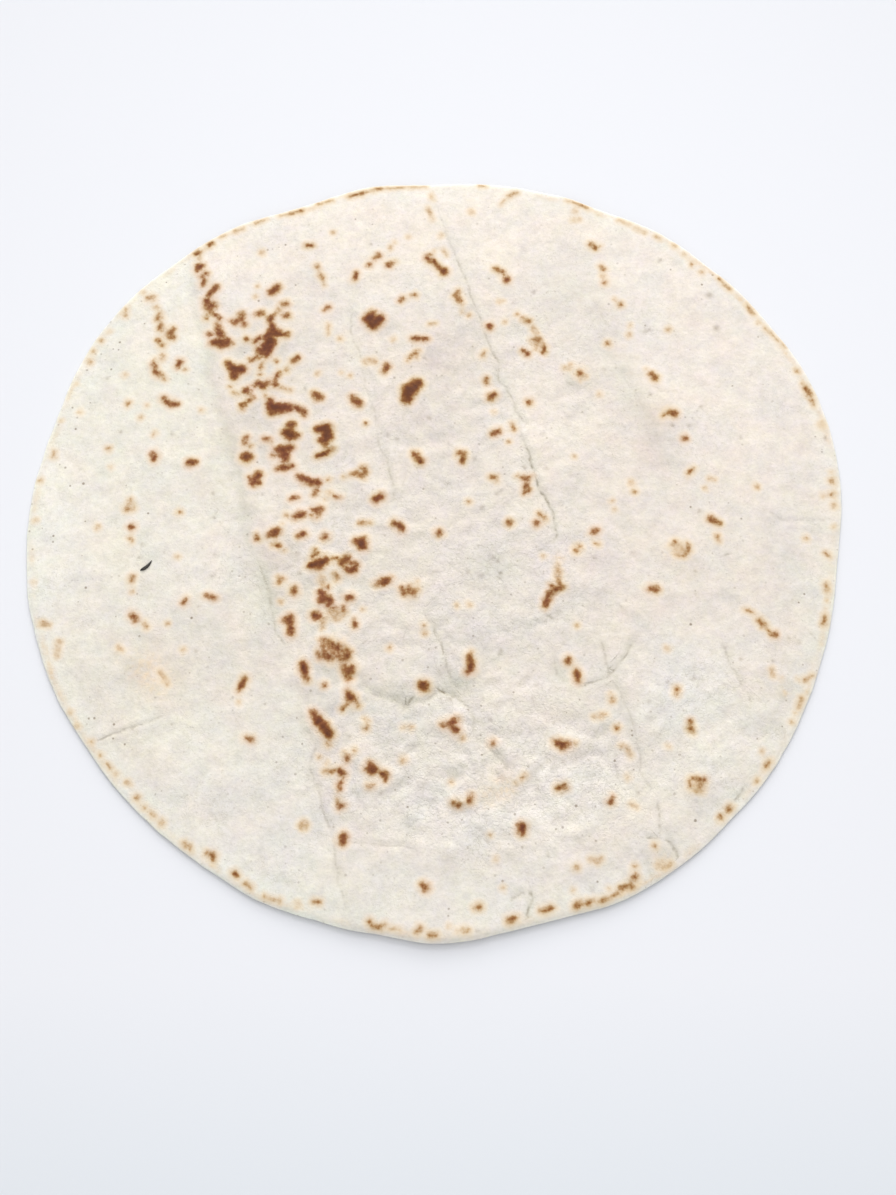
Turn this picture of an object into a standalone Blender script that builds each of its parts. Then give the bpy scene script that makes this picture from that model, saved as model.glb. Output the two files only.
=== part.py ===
"""A plain flatbread lying open: one thin round of soft dough, rolled by hand and baked on a griddle.

The round is a single closed solid. Its underside rests flat on z = 0 and lifts a little along
stretches of the edge. Its upper face carries the soft folds, the puffed and crumpled zone near the
front and the gentle swell of the dough. It thins out towards its edge, which is rounded. A sliver of
burnt flour is stuck on top.

All sizes are in millimetres unless a name says otherwise. +X is to the right, -Y is the front, +Z is
up, and the origin is under the middle of the round, on the surface that it lies on.
"""

import math

import bmesh
import bpy
import numpy as np
from mathutils import Matrix

MM = 0.001

# The round as it was rolled
MEAN_RADIUS = 150.3
THICKNESS = 2.5
# Crests round the edge, how far each crest stands out, and the direction of one crest in degrees
EDGE_SWELLS = (
    (1, 3.1, 84.0),
    (2, 0.6, 38.0),
    (3, 2.1, 37.0),
    (4, 1.1, 38.0),
    (6, 0.7, 16.0),
)
# Direction in degrees, how far the edge stands out there, and half the width in degrees
EDGE_FLATS = (
    (14.0, 0.6, 14.0),
    (34.0, -0.9, 6.0),
    (47.0, -0.7, 6.0),
    (64.0, -1.4, 5.0),
    (74.0, -0.6, 4.0),
    (91.0, -0.3, 5.0),
    (100.0, 1.4, 5.0),
    (112.0, -1.4, 6.0),
    (132.0, -0.9, 5.0),
    (150.0, 0.5, 20.0),
    (163.0, -0.8, 6.0),
    (182.0, 0.7, 12.0),
    (214.0, -0.6, 7.0),
    (246.0, 0.7, 5.0),
    (258.0, -0.6, 20.0),
    (270.0, 1.9, 6.0),
    (286.0, -1.1, 6.0),
    (295.0, 0.8, 8.0),
    (313.0, -0.8, 6.0),
    (339.0, 0.6, 12.0),
    (356.0, -0.8, 6.0),
)

# The rounded edge, seen in section
EDGE_REACH_ABOVE = 2.6
EDGE_REACH_BELOW = 0.8
EDGE_SECTION_DEG = (58.0, 28.0, 0.0, -42.0)

# Where the edge curls off the surface: direction and half width in degrees, height, reach inwards
LIFTED_EDGES = (
    (224.0, 26.0, 0.4, 34.0),
    (272.0, 24.0, 0.5, 38.0),
    (318.0, 24.0, 0.3, 34.0),
    (2.0, 16.0, 0.2, 30.0),
    (62.0, 20.0, 0.8, 30.0),
    (118.0, 16.0, 0.6, 26.0),
)

# The dough thins out towards its edge: over what reach, to what share of the thickness, and where that
# share differs, as direction and half width in degrees and the change
EDGE_THINNING_REACH = 18.0
EDGE_SHARE = 0.64
EDGE_SHARE_CHANGES = (
    (271.0, 22.0, 0.34),
    (222.0, 18.0, -0.24),
    (318.0, 18.0, -0.24),
    (8.0, 26.0, -0.12),
    (92.0, 30.0, 0.16),
)

# The dough is a little thicker and thinner from place to place: height, wave length, direction in degrees
SWELLS = (
    (0.16, 92.0, 20.0),
    (0.12, 61.0, 105.0),
    (0.09, 37.0, 62.0),
)

# Soft folds left from when the round was stacked and folded: the line that each follows, then the
# height of the roll beside it, the depth of its groove and the half width of the whole
FOLDS = {
    "back_to_middle": (((-1, 148), (12, 102), (25, 60), (34, 32), (43, -2)), 0.30, 0.50, 5.0),
    "left_of_middle": (((-51, 137), (-44, 105), (-33, 78), (-22, 40), (-15, 11)), 0.25, 0.35, 5.0),
    "left_band": (((-97, 118), (-87, 65), (-75, 25), (-66, -12), (-52, -43)), 0.35, 0.40, 7.0),
    "left_band_front": (((-43, -83), (-40, -100), (-33, -122), (-29, -142)), 0.30, 0.45, 5.0),
    "right_band": (((60, 98), (68, 68), (78, 50), (90, 20)), 0.25, 0.35, 7.0),
    "right_front": (((102, -45), (109, -62), (118, -66)), 0.30, 0.45, 5.0),
    "front_edge": (((120, -83), (108, -95), (95, -110), (90, -118)), 0.30, 0.50, 4.5),
    "fork_stem": (((59, -42), (61, -57), (66, -70), (69, -90), (74, -97)), 0.35, 0.55, 5.0),
    "fork_arm": (((71, -43), (61, -57), (50, -60)), 0.35, 0.50, 4.5),
    "crosswise": (((-28, -62), (-10, -68), (3, -62), (14, -66)), 0.50, 0.85, 5.5),
    "middle_ridge": (((-1, -18), (0, -40), (6, -60), (15, -80), (26, -92)), 0.35, 0.40, 5.5),
    "left_front_crack": (((-119, -81), (-105, -75), (-95, -71)), 0.20, 0.35, 4.0),
}
FOLD_END_FADE = 9.0

# The puffed zone: middle, half length, half width, turn in degrees and height
PUFFED_ZONES = (
    (14.0, -88.0, 66.0, 30.0, -6.0, 0.75),
    (52.0, -88.0, 30.0, 24.0, 10.0, 0.35),
    (-26.0, -78.0, 22.0, 26.0, 0.0, 0.35),
)
# Lumps in the puffed zone lie on a skewed lattice, each shifted, sized and raised by a seeded draw
LUMP_SEED = 17
LUMP_PITCH = 12.5
LUMP_HEIGHT = 0.65
LUMP_RADIUS = 5.6
LUMP_SHIFT = 3.6

# Blisters: middle x and y, radius, height
BLISTERS = (
    (54.0, 64.0, 8.0, 0.55),
    (87.0, 47.0, 9.0, 0.50),
    (-20.0, -90.0, 10.0, 0.60),
    (88.0, -8.0, 8.0, 0.50),
    (90.0, -96.0, 9.0, 0.60),
    (-9.0, 57.0, 9.0, 0.50),
    (-24.0, 88.0, 8.0, 0.45),
    (-40.0, 38.0, 11.0, 0.45),
    (-38.0, -46.0, 10.0, 0.55),
    (45.0, -20.0, 9.0, 0.50),
)

# The sliver of burnt flour on the left: middle, half length, half width, half height, turn
SLIVER_AT = (-106.0, -14.5)
SLIVER_HALF_SIZE = (2.6, 0.75, 0.55)
SLIVER_TURN_DEG = 37.0

# The mesh: rings from the middle to the edge, each ring with six more points than the last
RINGS = 28
SHARP_EDGE_DEG = 50.0


def smooth_step(t):
    """0 below 0, 1 above 1, and 3t^2 - 2t^3 between."""
    t = np.clip(t, 0.0, 1.0)
    return t * t * (3.0 - 2.0 * t)


def turn_between(angle, direction_deg):
    """The turn from a direction to each angle, in degrees from -180 to 180."""
    return (np.degrees(angle) - direction_deg + 180.0) % 360.0 - 180.0


def edge_radius(angle):
    """Distance from the middle to the outermost edge, at each angle in radians."""
    radius = np.full_like(angle, MEAN_RADIUS)
    for crests, height, direction in EDGE_SWELLS:
        radius += height * np.cos(crests * (angle - math.radians(direction)))
    for direction, height, half_width in EDGE_FLATS:
        radius += height * np.exp(-((turn_between(angle, direction) / half_width) ** 2))
    return radius


def lift(x, y):
    """Height of the underside over the surface: nothing in the middle, a rise at each lifted edge."""
    angle = np.arctan2(y, x)
    inwards = edge_radius(angle) - np.hypot(x, y)
    height = np.zeros_like(x)
    for direction, half_width, rise, reach in LIFTED_EDGES:
        along = np.exp(-((turn_between(angle, direction) / half_width) ** 2))
        height += rise * along * smooth_step(1.0 - inwards / reach) ** 1.5
    # the tail of a lifted stretch is cut off, so that the contact face stays flat
    return np.where(height < 0.02, 0.0, height - 0.02)


def local_thickness(x, y):
    """The plain thickness of the dough: full in the middle, less towards the edge along a soft curve."""
    angle = np.arctan2(y, x)
    share = np.full_like(x, EDGE_SHARE)
    for direction, half_width, change in EDGE_SHARE_CHANGES:
        share += change * np.exp(-((turn_between(angle, direction) / half_width) ** 2))
    inwards = edge_radius(angle) - np.hypot(x, y)
    return THICKNESS * (1.0 - (1.0 - share) * (1.0 - smooth_step(inwards / EDGE_THINNING_REACH)))


def distance_to_line(x, y, points):
    """Distance to a line of straight runs, and how far inside its two ends the nearest place lies."""
    points = np.asarray(points, float)
    starts, steps = points[:-1], np.diff(points, axis=0)
    lengths = np.hypot(*steps.T)
    before = np.concatenate([[0.0], np.cumsum(lengths)])[:-1]
    from_start = np.stack([x, y], -1)[..., None, :] - starts
    along = np.clip((from_start * steps).sum(-1) / lengths**2, 0.0, 1.0)
    gaps = np.hypot(*np.moveaxis(from_start - along[..., None] * steps, -1, 0))
    nearest = gaps.argmin(-1)[..., None]
    travelled = np.take_along_axis(before + along * lengths, nearest, -1)[..., 0]
    inside = np.minimum(travelled, lengths.sum() - travelled)
    return np.take_along_axis(gaps, nearest, -1)[..., 0], inside


def folds(x, y):
    """Each fold is a low roll with a groove along its crest, and both fade out at the fold's ends."""
    height = np.zeros_like(x)
    for points, roll, groove, half_width in FOLDS.values():
        gap, inside = distance_to_line(x, y, points)
        fade = smooth_step((inside + 1.0) / FOLD_END_FADE)
        height += fade * roll * np.exp(-((gap / half_width) ** 2))
        height -= fade * groove * np.exp(-((gap / (0.4 * half_width)) ** 2))
    return height


def puffed(x, y):
    """How far each place lies in a puffed zone, from 0 to 1, and the height of the puff there."""
    share, height = np.zeros_like(x), np.zeros_like(x)
    for middle_x, middle_y, half_length, half_width, turn, rise in PUFFED_ZONES:
        c, s = math.cos(math.radians(turn)), math.sin(math.radians(turn))
        u = ((x - middle_x) * c + (y - middle_y) * s) / half_length
        v = ((y - middle_y) * c - (x - middle_x) * s) / half_width
        inside = np.exp(-((u * u + v * v) ** 1.5))
        share = np.maximum(share, inside)
        height += rise * inside
    return share, height


def lumps(x, y, share):
    """Low round lumps on a skewed lattice, only where the dough is puffed."""
    random = np.random.default_rng(LUMP_SEED)
    height = np.zeros_like(x)
    for row, middle_y in enumerate(np.arange(-134.0, -44.0, LUMP_PITCH)):
        for middle_x in np.arange(-62.0, 96.0, LUMP_PITCH) + 0.5 * LUMP_PITCH * (row % 2):
            shift_x, shift_y = random.uniform(-LUMP_SHIFT, LUMP_SHIFT, 2)
            rise = LUMP_HEIGHT * random.uniform(0.35, 1.0)
            radius = LUMP_RADIUS * random.uniform(0.8, 1.25)
            gap = np.hypot(x - middle_x - shift_x, y - middle_y - shift_y)
            height += rise * np.exp(-((gap / radius) ** 2))
    return height * share


def upper_relief(x, y):
    """Everything that stands above or below the plain thickness of the dough."""
    height = np.zeros_like(x)
    for rise, length, direction in SWELLS:
        c, s = math.cos(math.radians(direction)), math.sin(math.radians(direction))
        height += rise * np.sin(2.0 * math.pi * (x * c + y * s) / length)
    for middle_x, middle_y, radius, rise in BLISTERS:
        height += rise * np.exp(-(((x - middle_x) ** 2 + (y - middle_y) ** 2) / radius**2) ** 1.5)
    share, puff = puffed(x, y)
    height += puff + folds(x, y) + lumps(x, y, share)
    # the relief dies away just before the rounded edge
    inwards = edge_radius(np.arctan2(y, x)) - np.hypot(x, y)
    return height * smooth_step((inwards - EDGE_REACH_ABOVE) / 9.0 + 0.25)


def ring_points():
    """(x, y) of the face's points in order: the middle, then 6 points, 12 points and so on outwards."""
    x, y = [np.zeros(1)], [np.zeros(1)]
    for ring in range(1, RINGS + 1):
        angle = np.arange(6 * ring) * 2.0 * math.pi / (6 * ring)
        radius = (edge_radius(angle) - EDGE_REACH_ABOVE) * ring / RINGS
        x.append(radius * np.cos(angle))
        y.append(radius * np.sin(angle))
    return np.concatenate(x), np.concatenate(y)


def ring_triangles():
    """The face's triangles, anticlockwise from above, six equal sectors of near-equal triangles."""
    triangles = []
    for ring in range(1, RINGS + 1):
        outer, outer_count = 1 + 3 * ring * (ring - 1), 6 * ring
        inner, inner_count = (outer - 6 * (ring - 1), 6 * (ring - 1)) if ring > 1 else (0, 1)
        for sector in range(6):
            for step in range(ring):
                a = outer + sector * ring + step
                b = outer + (sector * ring + step + 1) % outer_count
                c = inner + (sector * (ring - 1) + step) % inner_count
                triangles.append((a, b, c))
                if step < ring - 1:
                    d = inner + (sector * (ring - 1) + step + 1) % inner_count
                    triangles.append((b, d, c))
    return triangles


def edge_rows(x, y, top, under):
    """The points of the rounded edge between the two faces' last rings, one row for each section angle."""
    angle = np.arctan2(y, x)
    outermost = edge_radius(angle)
    rows = []
    for section in np.radians(EDGE_SECTION_DEG):
        reach = EDGE_REACH_ABOVE if section > 0.0 else EDGE_REACH_BELOW
        radius = outermost - reach * (1.0 - math.cos(section))
        middle, half = 0.5 * (top + under), 0.5 * (top - under)
        rows.append((radius * np.cos(angle), radius * np.sin(angle), middle + half * math.sin(section)))
    return rows


def make_round():
    """The flatbread as one closed mesh: upper face, rounded edge, underside."""
    x, y = ring_points()
    under = lift(x, y)
    top = under + local_thickness(x, y) + upper_relief(x, y)
    count = len(x)
    last = np.arange(count - 6 * RINGS, count)
    rows = edge_rows(x[last], y[last], top[last], under[last])

    # the underside's last ring reaches further out than the upper face's
    angle = np.arctan2(y[last], x[last])
    under_x, under_y = x.copy(), y.copy()
    under_radius = edge_radius(angle) - EDGE_REACH_BELOW
    under_x[last], under_y[last] = under_radius * np.cos(angle), under_radius * np.sin(angle)

    sheets = [(x, y, top), (under_x, under_y, under), *rows]
    points = np.concatenate([np.stack(sheet, -1) for sheet in sheets]) * MM
    bm = bmesh.new()
    verts = [bm.verts.new(point) for point in points]
    for a, b, c in ring_triangles():
        bm.faces.new((verts[a], verts[b], verts[c]))
        bm.faces.new((verts[count + c], verts[count + b], verts[count + a]))
    first_row = 2 * count
    loops = [last, *(first_row + np.arange(6 * RINGS) + 6 * RINGS * i for i in range(len(rows))), count + last]
    for above, below in zip(loops[:-1], loops[1:]):
        for a, b, c, d in zip(above, np.roll(above, -1), np.roll(below, -1), below):
            bm.faces.new((verts[a], verts[d], verts[c]))
            bm.faces.new((verts[a], verts[c], verts[b]))
    return finished_object("flatbread", bm)


def make_sliver():
    """The burnt sliver as an egg shape that stands half out of the upper face."""
    x, y = np.array([SLIVER_AT[0]]), np.array([SLIVER_AT[1]])
    height = (lift(x, y) + local_thickness(x, y) + upper_relief(x, y))[0]
    bm = bmesh.new()
    bmesh.ops.create_icosphere(bm, subdivisions=2, radius=1.0)
    place = (
        Matrix.Translation((SLIVER_AT[0] * MM, SLIVER_AT[1] * MM, height * MM))
        @ Matrix.Rotation(math.radians(SLIVER_TURN_DEG), 4, "Z")
        @ Matrix.Diagonal((*(size * MM for size in SLIVER_HALF_SIZE), 1.0))
    )
    bmesh.ops.transform(bm, matrix=place, verts=bm.verts)
    sliver = finished_object("burnt_sliver", bm)
    sliver.hide_render = True
    sliver.display_type = "WIRE"
    return sliver


def finished_object(name, bm):
    """A new smooth-shaded object from a bmesh, which is freed."""
    mesh = bpy.data.meshes.new(name)
    bm.to_mesh(mesh)
    bm.free()
    mesh.shade_smooth()
    mesh.set_sharp_from_angle(angle=math.radians(SHARP_EDGE_DEG))
    obj = bpy.data.objects.new(name, mesh)
    bpy.context.scene.collection.objects.link(obj)
    return obj


def join_to(obj, other):
    """Fuses a second closed mesh to an object with an exact union."""
    union = obj.modifiers.new("join_" + other.name, "BOOLEAN")
    union.operation = "UNION"
    union.solver = "EXACT"
    union.material_mode = "TRANSFER"
    union.object = other


def finish(name, colour, roughness):
    """A plain finish: colour, roughness, no metal."""
    material = bpy.data.materials.new(name)
    material.use_nodes = True
    shader = material.node_tree.nodes["Principled BSDF"]
    shader.inputs["Base Color"].default_value = (*colour, 1.0)
    shader.inputs["Roughness"].default_value = roughness
    shader.inputs["Metallic"].default_value = 0.0
    return material


def clear_scene():
    """Removes everything that a new file starts with."""
    for obj in list(bpy.data.objects):
        bpy.data.objects.remove(obj)


def main():
    """Builds the flatbread and fuses the sliver to it."""
    clear_scene()
    bread = make_round()
    bread.data.materials.append(finish("baked_dough", (0.82, 0.76, 0.66), 0.75))
    sliver = make_sliver()
    sliver.data.materials.append(finish("burnt_flour", (0.035, 0.03, 0.022), 0.8))
    join_to(bread, sliver)


main()
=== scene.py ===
"""A plain round flatbread that lies open on a pale table, dressed for its picture.

The bread is one closed skin: an upper face on a fine grid that is folded onto the uneven round, a
rounded edge, and a coarser underside. Its heights repeat the CAD part's and add the finer creases,
wrinkles, crumples and soft unevenness of baked dough. Scorch marks are listed strokes, kept on the
skin as a depth in millimetres, and coloured by the dough's finish.

Sizes are in millimetres unless a name says otherwise. +X is to the right, -Y is the front, +Z is up.
"""

import logging
import math
from collections.abc import Iterable
from dataclasses import dataclass, field
from enum import Enum
from typing import Any

import bpy
import numpy as np
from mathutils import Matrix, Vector


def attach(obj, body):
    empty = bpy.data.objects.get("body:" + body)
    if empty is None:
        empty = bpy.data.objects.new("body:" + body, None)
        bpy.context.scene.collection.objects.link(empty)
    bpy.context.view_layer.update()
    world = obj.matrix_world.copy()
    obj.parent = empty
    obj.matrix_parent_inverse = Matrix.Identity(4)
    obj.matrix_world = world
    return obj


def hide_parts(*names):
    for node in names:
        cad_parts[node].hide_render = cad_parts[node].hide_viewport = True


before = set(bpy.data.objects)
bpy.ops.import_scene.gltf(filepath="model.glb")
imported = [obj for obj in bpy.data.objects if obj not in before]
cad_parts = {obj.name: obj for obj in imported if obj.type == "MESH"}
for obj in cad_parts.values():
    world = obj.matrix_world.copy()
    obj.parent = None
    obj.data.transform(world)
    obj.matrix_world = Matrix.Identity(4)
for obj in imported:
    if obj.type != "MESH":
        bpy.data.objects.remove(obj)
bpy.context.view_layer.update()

log = logging.getLogger("flatbread")

# one millimetre in metres
MM = 0.001
Array = np.ndarray
Socket = bpy.types.NodeSocket
Triple = tuple[float, float, float]
Colour = tuple[float, float, float]
Line = Iterable[tuple[float, float]]
# x, y and radius of one knot after another
Stroke = tuple[float, ...]
# a table of numbers
Rows = tuple[tuple[float, ...], ...]
# lattice size, height, seed and turn in degrees of a soft noise
Grain = tuple[float, float, int, float]
# soft noises that move places along X and along Y
Wander = tuple[tuple[Grain, ...], tuple[Grain, ...]]


class Shade(Enum):
    """How far a mark was baked: the greatest depth in millimetres that its scorch field reaches."""

    CHAR = 1.5
    DARK = 1.05
    BROWN = 1.0
    TAN = 0.43
    PALE = -0.27


# The scorch marks of the upper face. Each stroke is a run of knots (x, y, radius), and the mark is
# the run's outline swept from knot to knot.
SCORCH_MARKS: dict[Shade, tuple[Stroke, ...]] = {
    Shade.CHAR: (
        # between the left band and the middle
        (-11.2, 53.2, 2.2, -10.5, 56.5, 3.1, -7.6, 59.5, 2.4),
        (-44.2, 40.6, 1.8, -41.4, 40.8, 2.3, -41, 37.5, 2.3, -41.4, 34.8, 1.4), (-54.8, 42.2, 1.8),
        (-56.5, 39, 1.9, -54.5, 38.2, 2, -52.3, 38, 1.1), (-54.6, 36.8, 1),
        (-60, 32.2, 0.9, -57.5, 32, 2, -54.5, 33, 1.4), (-57, 30.5, 2.2, -56.5, 28, 1.5),
        (-59, 24.4, 1, -56.5, 24.7, 1.3, -53.8, 25.4, 0.9),
        (-63, 52.5, 1.5, -62.5, 50, 2, -59, 49.8, 2, -56, 49.3, 1.8), (-62.5, 47.3, 1.2, -59, 48.2, 1.4),
        (-22.3, 11.8, 1.5, -20.6, 12.9, 1.4), (-71, 29, 2.3),
        (-66.3, 21.7, 1.6, -67.8, 19, 1.8, -66.5, 18.7, 1.3), (-69.4, 20.9, 0.6),
        (-51.6, 21.3, 0.9, -49, 19.8, 1.3, -46, 18.6, 1.3, -44.2, 18.6, 1.5),
        (-51.8, 4.6, 1.1, -50.2, 5.6, 1.3, -48.7, 6, 0.9), (-15.5, 2.3, 1, -13.8, 1.5, 1.3, -12.5, -0.3, 1),
        (-67.8, 74, 1.6, -65.5, 73, 2.2, -65, 76, 2.8, -64, 78, 2.5), (-72.2, 57, 1.3, -71.5, 56.3, 1.3),
        (-73.6, 49.3, 0.6, -73.5, 50.5, 1, -71.5, 52.3, 0.8, -69.5, 54, 0.5),
        # towards the back
        (-24.8, 90, 1.6, -26, 87.5, 2.6, -24.3, 85.3, 2.3, -22.5, 87.5, 2.4),
        (-60, 94.4, 0.9, -58.5, 94.8, 1.1),
        (-64.3, 88.5, 1.3, -64.6, 87, 1, -63.5, 84.5, 1.2, -63.5, 82, 1.8, -65.5, 79.8, 1.8, -64.5, 78, 2.2),
        (-61, 81.5, 1.8, -63.5, 82, 1.8), (-68, 79.5, 1, -69.8, 78, 0.9), (-59, 81, 0.9, -57.6, 81.2, 1.1),
        (-74.3, 85.6, 1), (-73.2, 79.2, 0.9),
        (-4, 115.5, 1, -3.2, 114, 1, -1.5, 114, 0.8, 0.2, 111.5, 0.9, 1, 110.5, 1, 2.5, 109, 1.8),
        (-90.5, 108, 1, -91.8, 107, 0.7, -91, 105, 0.9, -91.3, 103.5, 1),
        (-86.2, 102, 1.2, -87.8, 100, 1.1, -88.7, 98.3, 1), (-89.7, 96, 1.3, -88.8, 93.5, 1.8, -87, 94, 1.6),
        (-88, 91.7, 0.8), (-87.6, 81.2, 1),
        (-86, 77.5, 1.5, -83.5, 78, 1.9, -80.5, 77.5, 1.8, -79, 77.5, 0.9), (-83, 76.3, 1.5),
        (-106, 30.4, 1, -105.4, 29.3, 1.2, -105.6, 27.8, 0.7), (-92, 26.6, 1.4, -90.5, 26.9, 1.2),
        (-79.8, 68.5, 1.3, -78.2, 66.5, 1.8, -76.5, 65.5, 2.2, -74.5, 66, 1.9),
        (-77.2, 63, 1.6, -76.5, 65.5, 2), (20.3, 84.4, 1.3), (20.2, 54, 1.3, 21.7, 55, 1.2),
        (21.5, 38.7, 1.1, 23, 39.6, 1.1), (9.8, 28.5, 1, 9.5, 27.3, 0.9),
        # before the middle
        (-61, -2.3, 1, -59.3, -1.6, 1.7, -58, -0.8, 1.2), (-29, -5, 1.5, -27, -6.5, 2.1, -26.7, -4, 1.2),
        (1, -1.5, 1.3), (-45, -14.2, 1.5, -42.7, -13.8, 2.5, -40.6, -12.5, 1.8), (-42.5, -11.8, 0.9),
        (-41.3, -25.2, 1.6, -41, -27, 2, -39, -27.6, 1.6, -38.2, -28.6, 1.4, -38.8, -29.7, 1.1),
        (-51.4, -23.5, 1, -51.2, -24.8, 1.1), (-43.4, -33.6, 1.6, -42.5, -33.9, 1.5),
        (-54.3, -35.5, 0.9, -52.5, -34.8, 1.6, -52, -37.5, 1.4, -51.8, -40.3, 1.3),
        (-47.2, -52, 1.3, -46.6, -54.5, 1.4, -45.6, -57.5, 0.8),
        (-32.3, -53.2, 1.2, -31, -54.8, 2, -29.9, -53.2, 1.3),
        (-43.3, -69.5, 0.9, -41.5, -72, 1.7, -39, -75, 2, -37, -77.5, 1.6),
        (11.8, -49.5, 1, 12.5, -52, 1.3, 12.2, -54, 1.3, 11.2, -55, 0.9),
        (49.8, -54.5, 1, 50, -56.2, 1.2, 50.2, -58, 0.9),
        # in the puffed zone
        (-23.8, -89.5, 0.8, -22.5, -88.8, 1.6, -21.8, -90, 1.9), (-33.3, -90.4, 0.8, -32.3, -91.7, 1.2),
        (-32.4, -94.4, 0.7, -33.1, -95.7, 0.8, -33, -96.8, 0.6), (-31.4, -113.5, 1.3, -31.5, -115.3, 1.2),
        (2.5, -74, 0.8, 4.5, -73.8, 1.2, 7, -72.5, 1.1), (5.5, -74.3, 1.1, 7.5, -76.3, 1),
        (42.2, -80.5, 1.3, 44, -81.2, 1.7, 45.6, -81, 1.3), (29.5, -110, 1.4, 29.4, -112, 1.3),
        (77.2, -23.5, 0.9, 79.7, -23.5, 1.2), (-43.3, 36.1, 1.2),
    ),
    Shade.DARK: (
        (-39.3, -48.6, 1.5, -37.3, -48.7, 1.3), (-33.7, -50, 1.2, -32.2, -50, 1.3),
        (-21.6, -21.6, 1, -19, -20.7, 1.6, -16.8, -19.7, 1.1),
        (-31.2, -62, 0.9, -29.8, -64, 1.9, -28.6, -64.5, 1.2), (-29.3, -35.6, 0.6, -29, -37.5, 1),
        (-31.7, -27.1, 1.4, -31, -26.7, 1.3), (-33.4, -30.5, 0.8, -33, -31.8, 0.9),
        (-37.2, -30.7, 0.7, -36.3, -31.1, 0.7), (-39.3, -22.8, 0.9), (-4.3, -60, 2.2), (-30.7, -57.3, 1.1),
        (57.2, -1.4, 0.9, 58.3, -0.8, 1.1, 59.2, -0.4, 0.7),
        (46, -22.8, 0.8, 43, -23.5, 1.3, 41, -25.5, 1.3, 39.8, -28, 1.4, 39.2, -30, 0.9), (41.5, -22, 0.6),
        (47, -50.6, 1.4), (12.3, -99.4, 0.9, 11.7, -101, 1.2), (60.2, -101.2, 1.1, 60.8, -99.7, 0.5),
        (121.2, -40.8, 1.2), (67.7, -127.8, 1.4), (25.2, -142, 1.4, 27, -141.2, 0.9),
        (-83.5, 82, 1.2, -83, 80.5, 1.5), (-64.5, 36.6, 0.9, -62.3, 35.9, 0.8),
        (-46.3, 55.3, 1.4, -45, 54, 1.6, -43.7, 53.8, 1.2),
        (-31.8, 53.8, 1.4, -30.8, 52.3, 1.4, -29.6, 51.3, 1.7),
        (-39.3, 32.3, 1.2, -41.5, 30.5, 1.3, -44.5, 29.4, 1.1), (-53.5, 12, 1, -51.6, 12.6, 1),
        (-38, 13.2, 0.5, -35.5, 12.6, 0.4), (-50.5, -2.6, 1, -48.8, -2.1, 1.4), (-40.7, -3.2, 1.5),
        (-59.3, -6.2, 0.8, -57.6, -6.7, 1), (-41.8, 33.8, 0.9), (-57.8, 80.9, 0.7),
    ),
    Shade.BROWN: (
        (-20, 65.2, 1.3, -19.2, 67, 1.6), (-61, 29.6, 0.9), (-53, 49.5, 1.3, -50.5, 48, 1.5, -49.8, 46.7, 1),
        (-7.9, 30, 1.6, -6, 27.4, 1.6), (-44, 15.3, 0.8, -45, 14, 1.1),
        (-45, 7.5, 1.2, -42.6, 8, 1.2, -44, 5, 1), (-68.5, 71.2, 1, -71.5, 70, 0.8),
        (-60, 64.5, 1, -61, 62.5, 0.7, -61.8, 60.3, 0.9, -61.5, 59.2, 1.1),
        (-69.3, 59, 0.9, -67.5, 60, 1.2, -66, 58.7, 1.5, -64.3, 60.6, 0.9),
        (-55, 69.3, 1.2, -53.3, 70.9, 1.1), (-31.4, 108.3, 0.9, -32.3, 105.9, 1),
        (-14.3, 95.9, 0.8, -13.2, 97, 0.8), (-42, 93.2, 0.9, -43.6, 91.8, 0.6),
        (-64.2, 100, 1.9, -62.3, 102, 1.6), (-59, 89.2, 1, -58, 89.4, 1.3), (-70, 89.8, 0.9, -68, 90.6, 1.3),
        (-76, 89.5, 1.2, -75.5, 87, 0.8), (-9.3, 79.2, 0.8, -7.5, 79, 1.3, -6, 79, 1, -3.8, 78.9, 0.9),
        (-94.2, 112, 1, -92.3, 111.8, 1.3, -94, 109.6, 1.1),
        (-87.5, 90.5, 0.7, -85.5, 89.3, 1, -83.8, 88, 0.8), (-84.8, 85, 1.2, -84.2, 83, 1.5),
        (-79.5, 87.2, 0.9, -78, 86.6, 1.4, -76.2, 88.5, 1, -75.2, 90.3, 0.9), (-112.5, 97.3, 1),
        (-108.4, 69, 0.6, -107.8, 66.8, 0.9, -107, 64.3, 1.3, -106, 63.8, 1), (-98.2, 69, 1.2, -99, 67, 0.9),
        (-103.4, 53.4, 1.1, -101.8, 51.9, 1.2, -100, 51.3, 1.5, -98.4, 51, 1.1),
        (-77.2, 56.2, 0.5, -75.8, 55.6, 0.4),
        # right of the middle
        (22.8, 110.3, 0.9, 25.2, 108.9, 1.1), (27.3, 105.3, 1.6), (33.5, 87.8, 0.8, 35.5, 86.8, 1.1),
        (65.5, 104, 0.9), (33, 73.7, 0.8, 34.8, 72.5, 1.1), (41.3, 75.5, 0.8, 41, 73.3, 0.9),
        (54.6, 64.1, 1.3), (18.8, 61.7, 0.9, 19, 60, 0.7), (35, 51.9, 1.2), (8.6, 30.8, 1, 10.3, 30.6, 0.9),
        (31.9, 20.4, 0.8, 33.5, 20.3, 1, 35, 21, 0.7), (33.2, 18, 1, 33.3, 15.2, 1.1, 32.5, 14.5, 0.8),
        (34.3, 15.5, 0.7), (26.8, 2.4, 1.3), (37, 2.3, 1.3), (81.7, 63.8, 1.1, 83.2, 62.3, 1.3),
        (87.8, 47.6, 1.2, 89.6, 47, 1.5), (93.1, 36.8, 1.2), (101, 4, 1.3, 102.7, 3, 1.2, 104, 2.4, 0.8),
        (140.6, 58.2, 1.3, 141.7, 55.3, 1.4), (147.3, 19.3, 1.2),
        # before the middle
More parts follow.
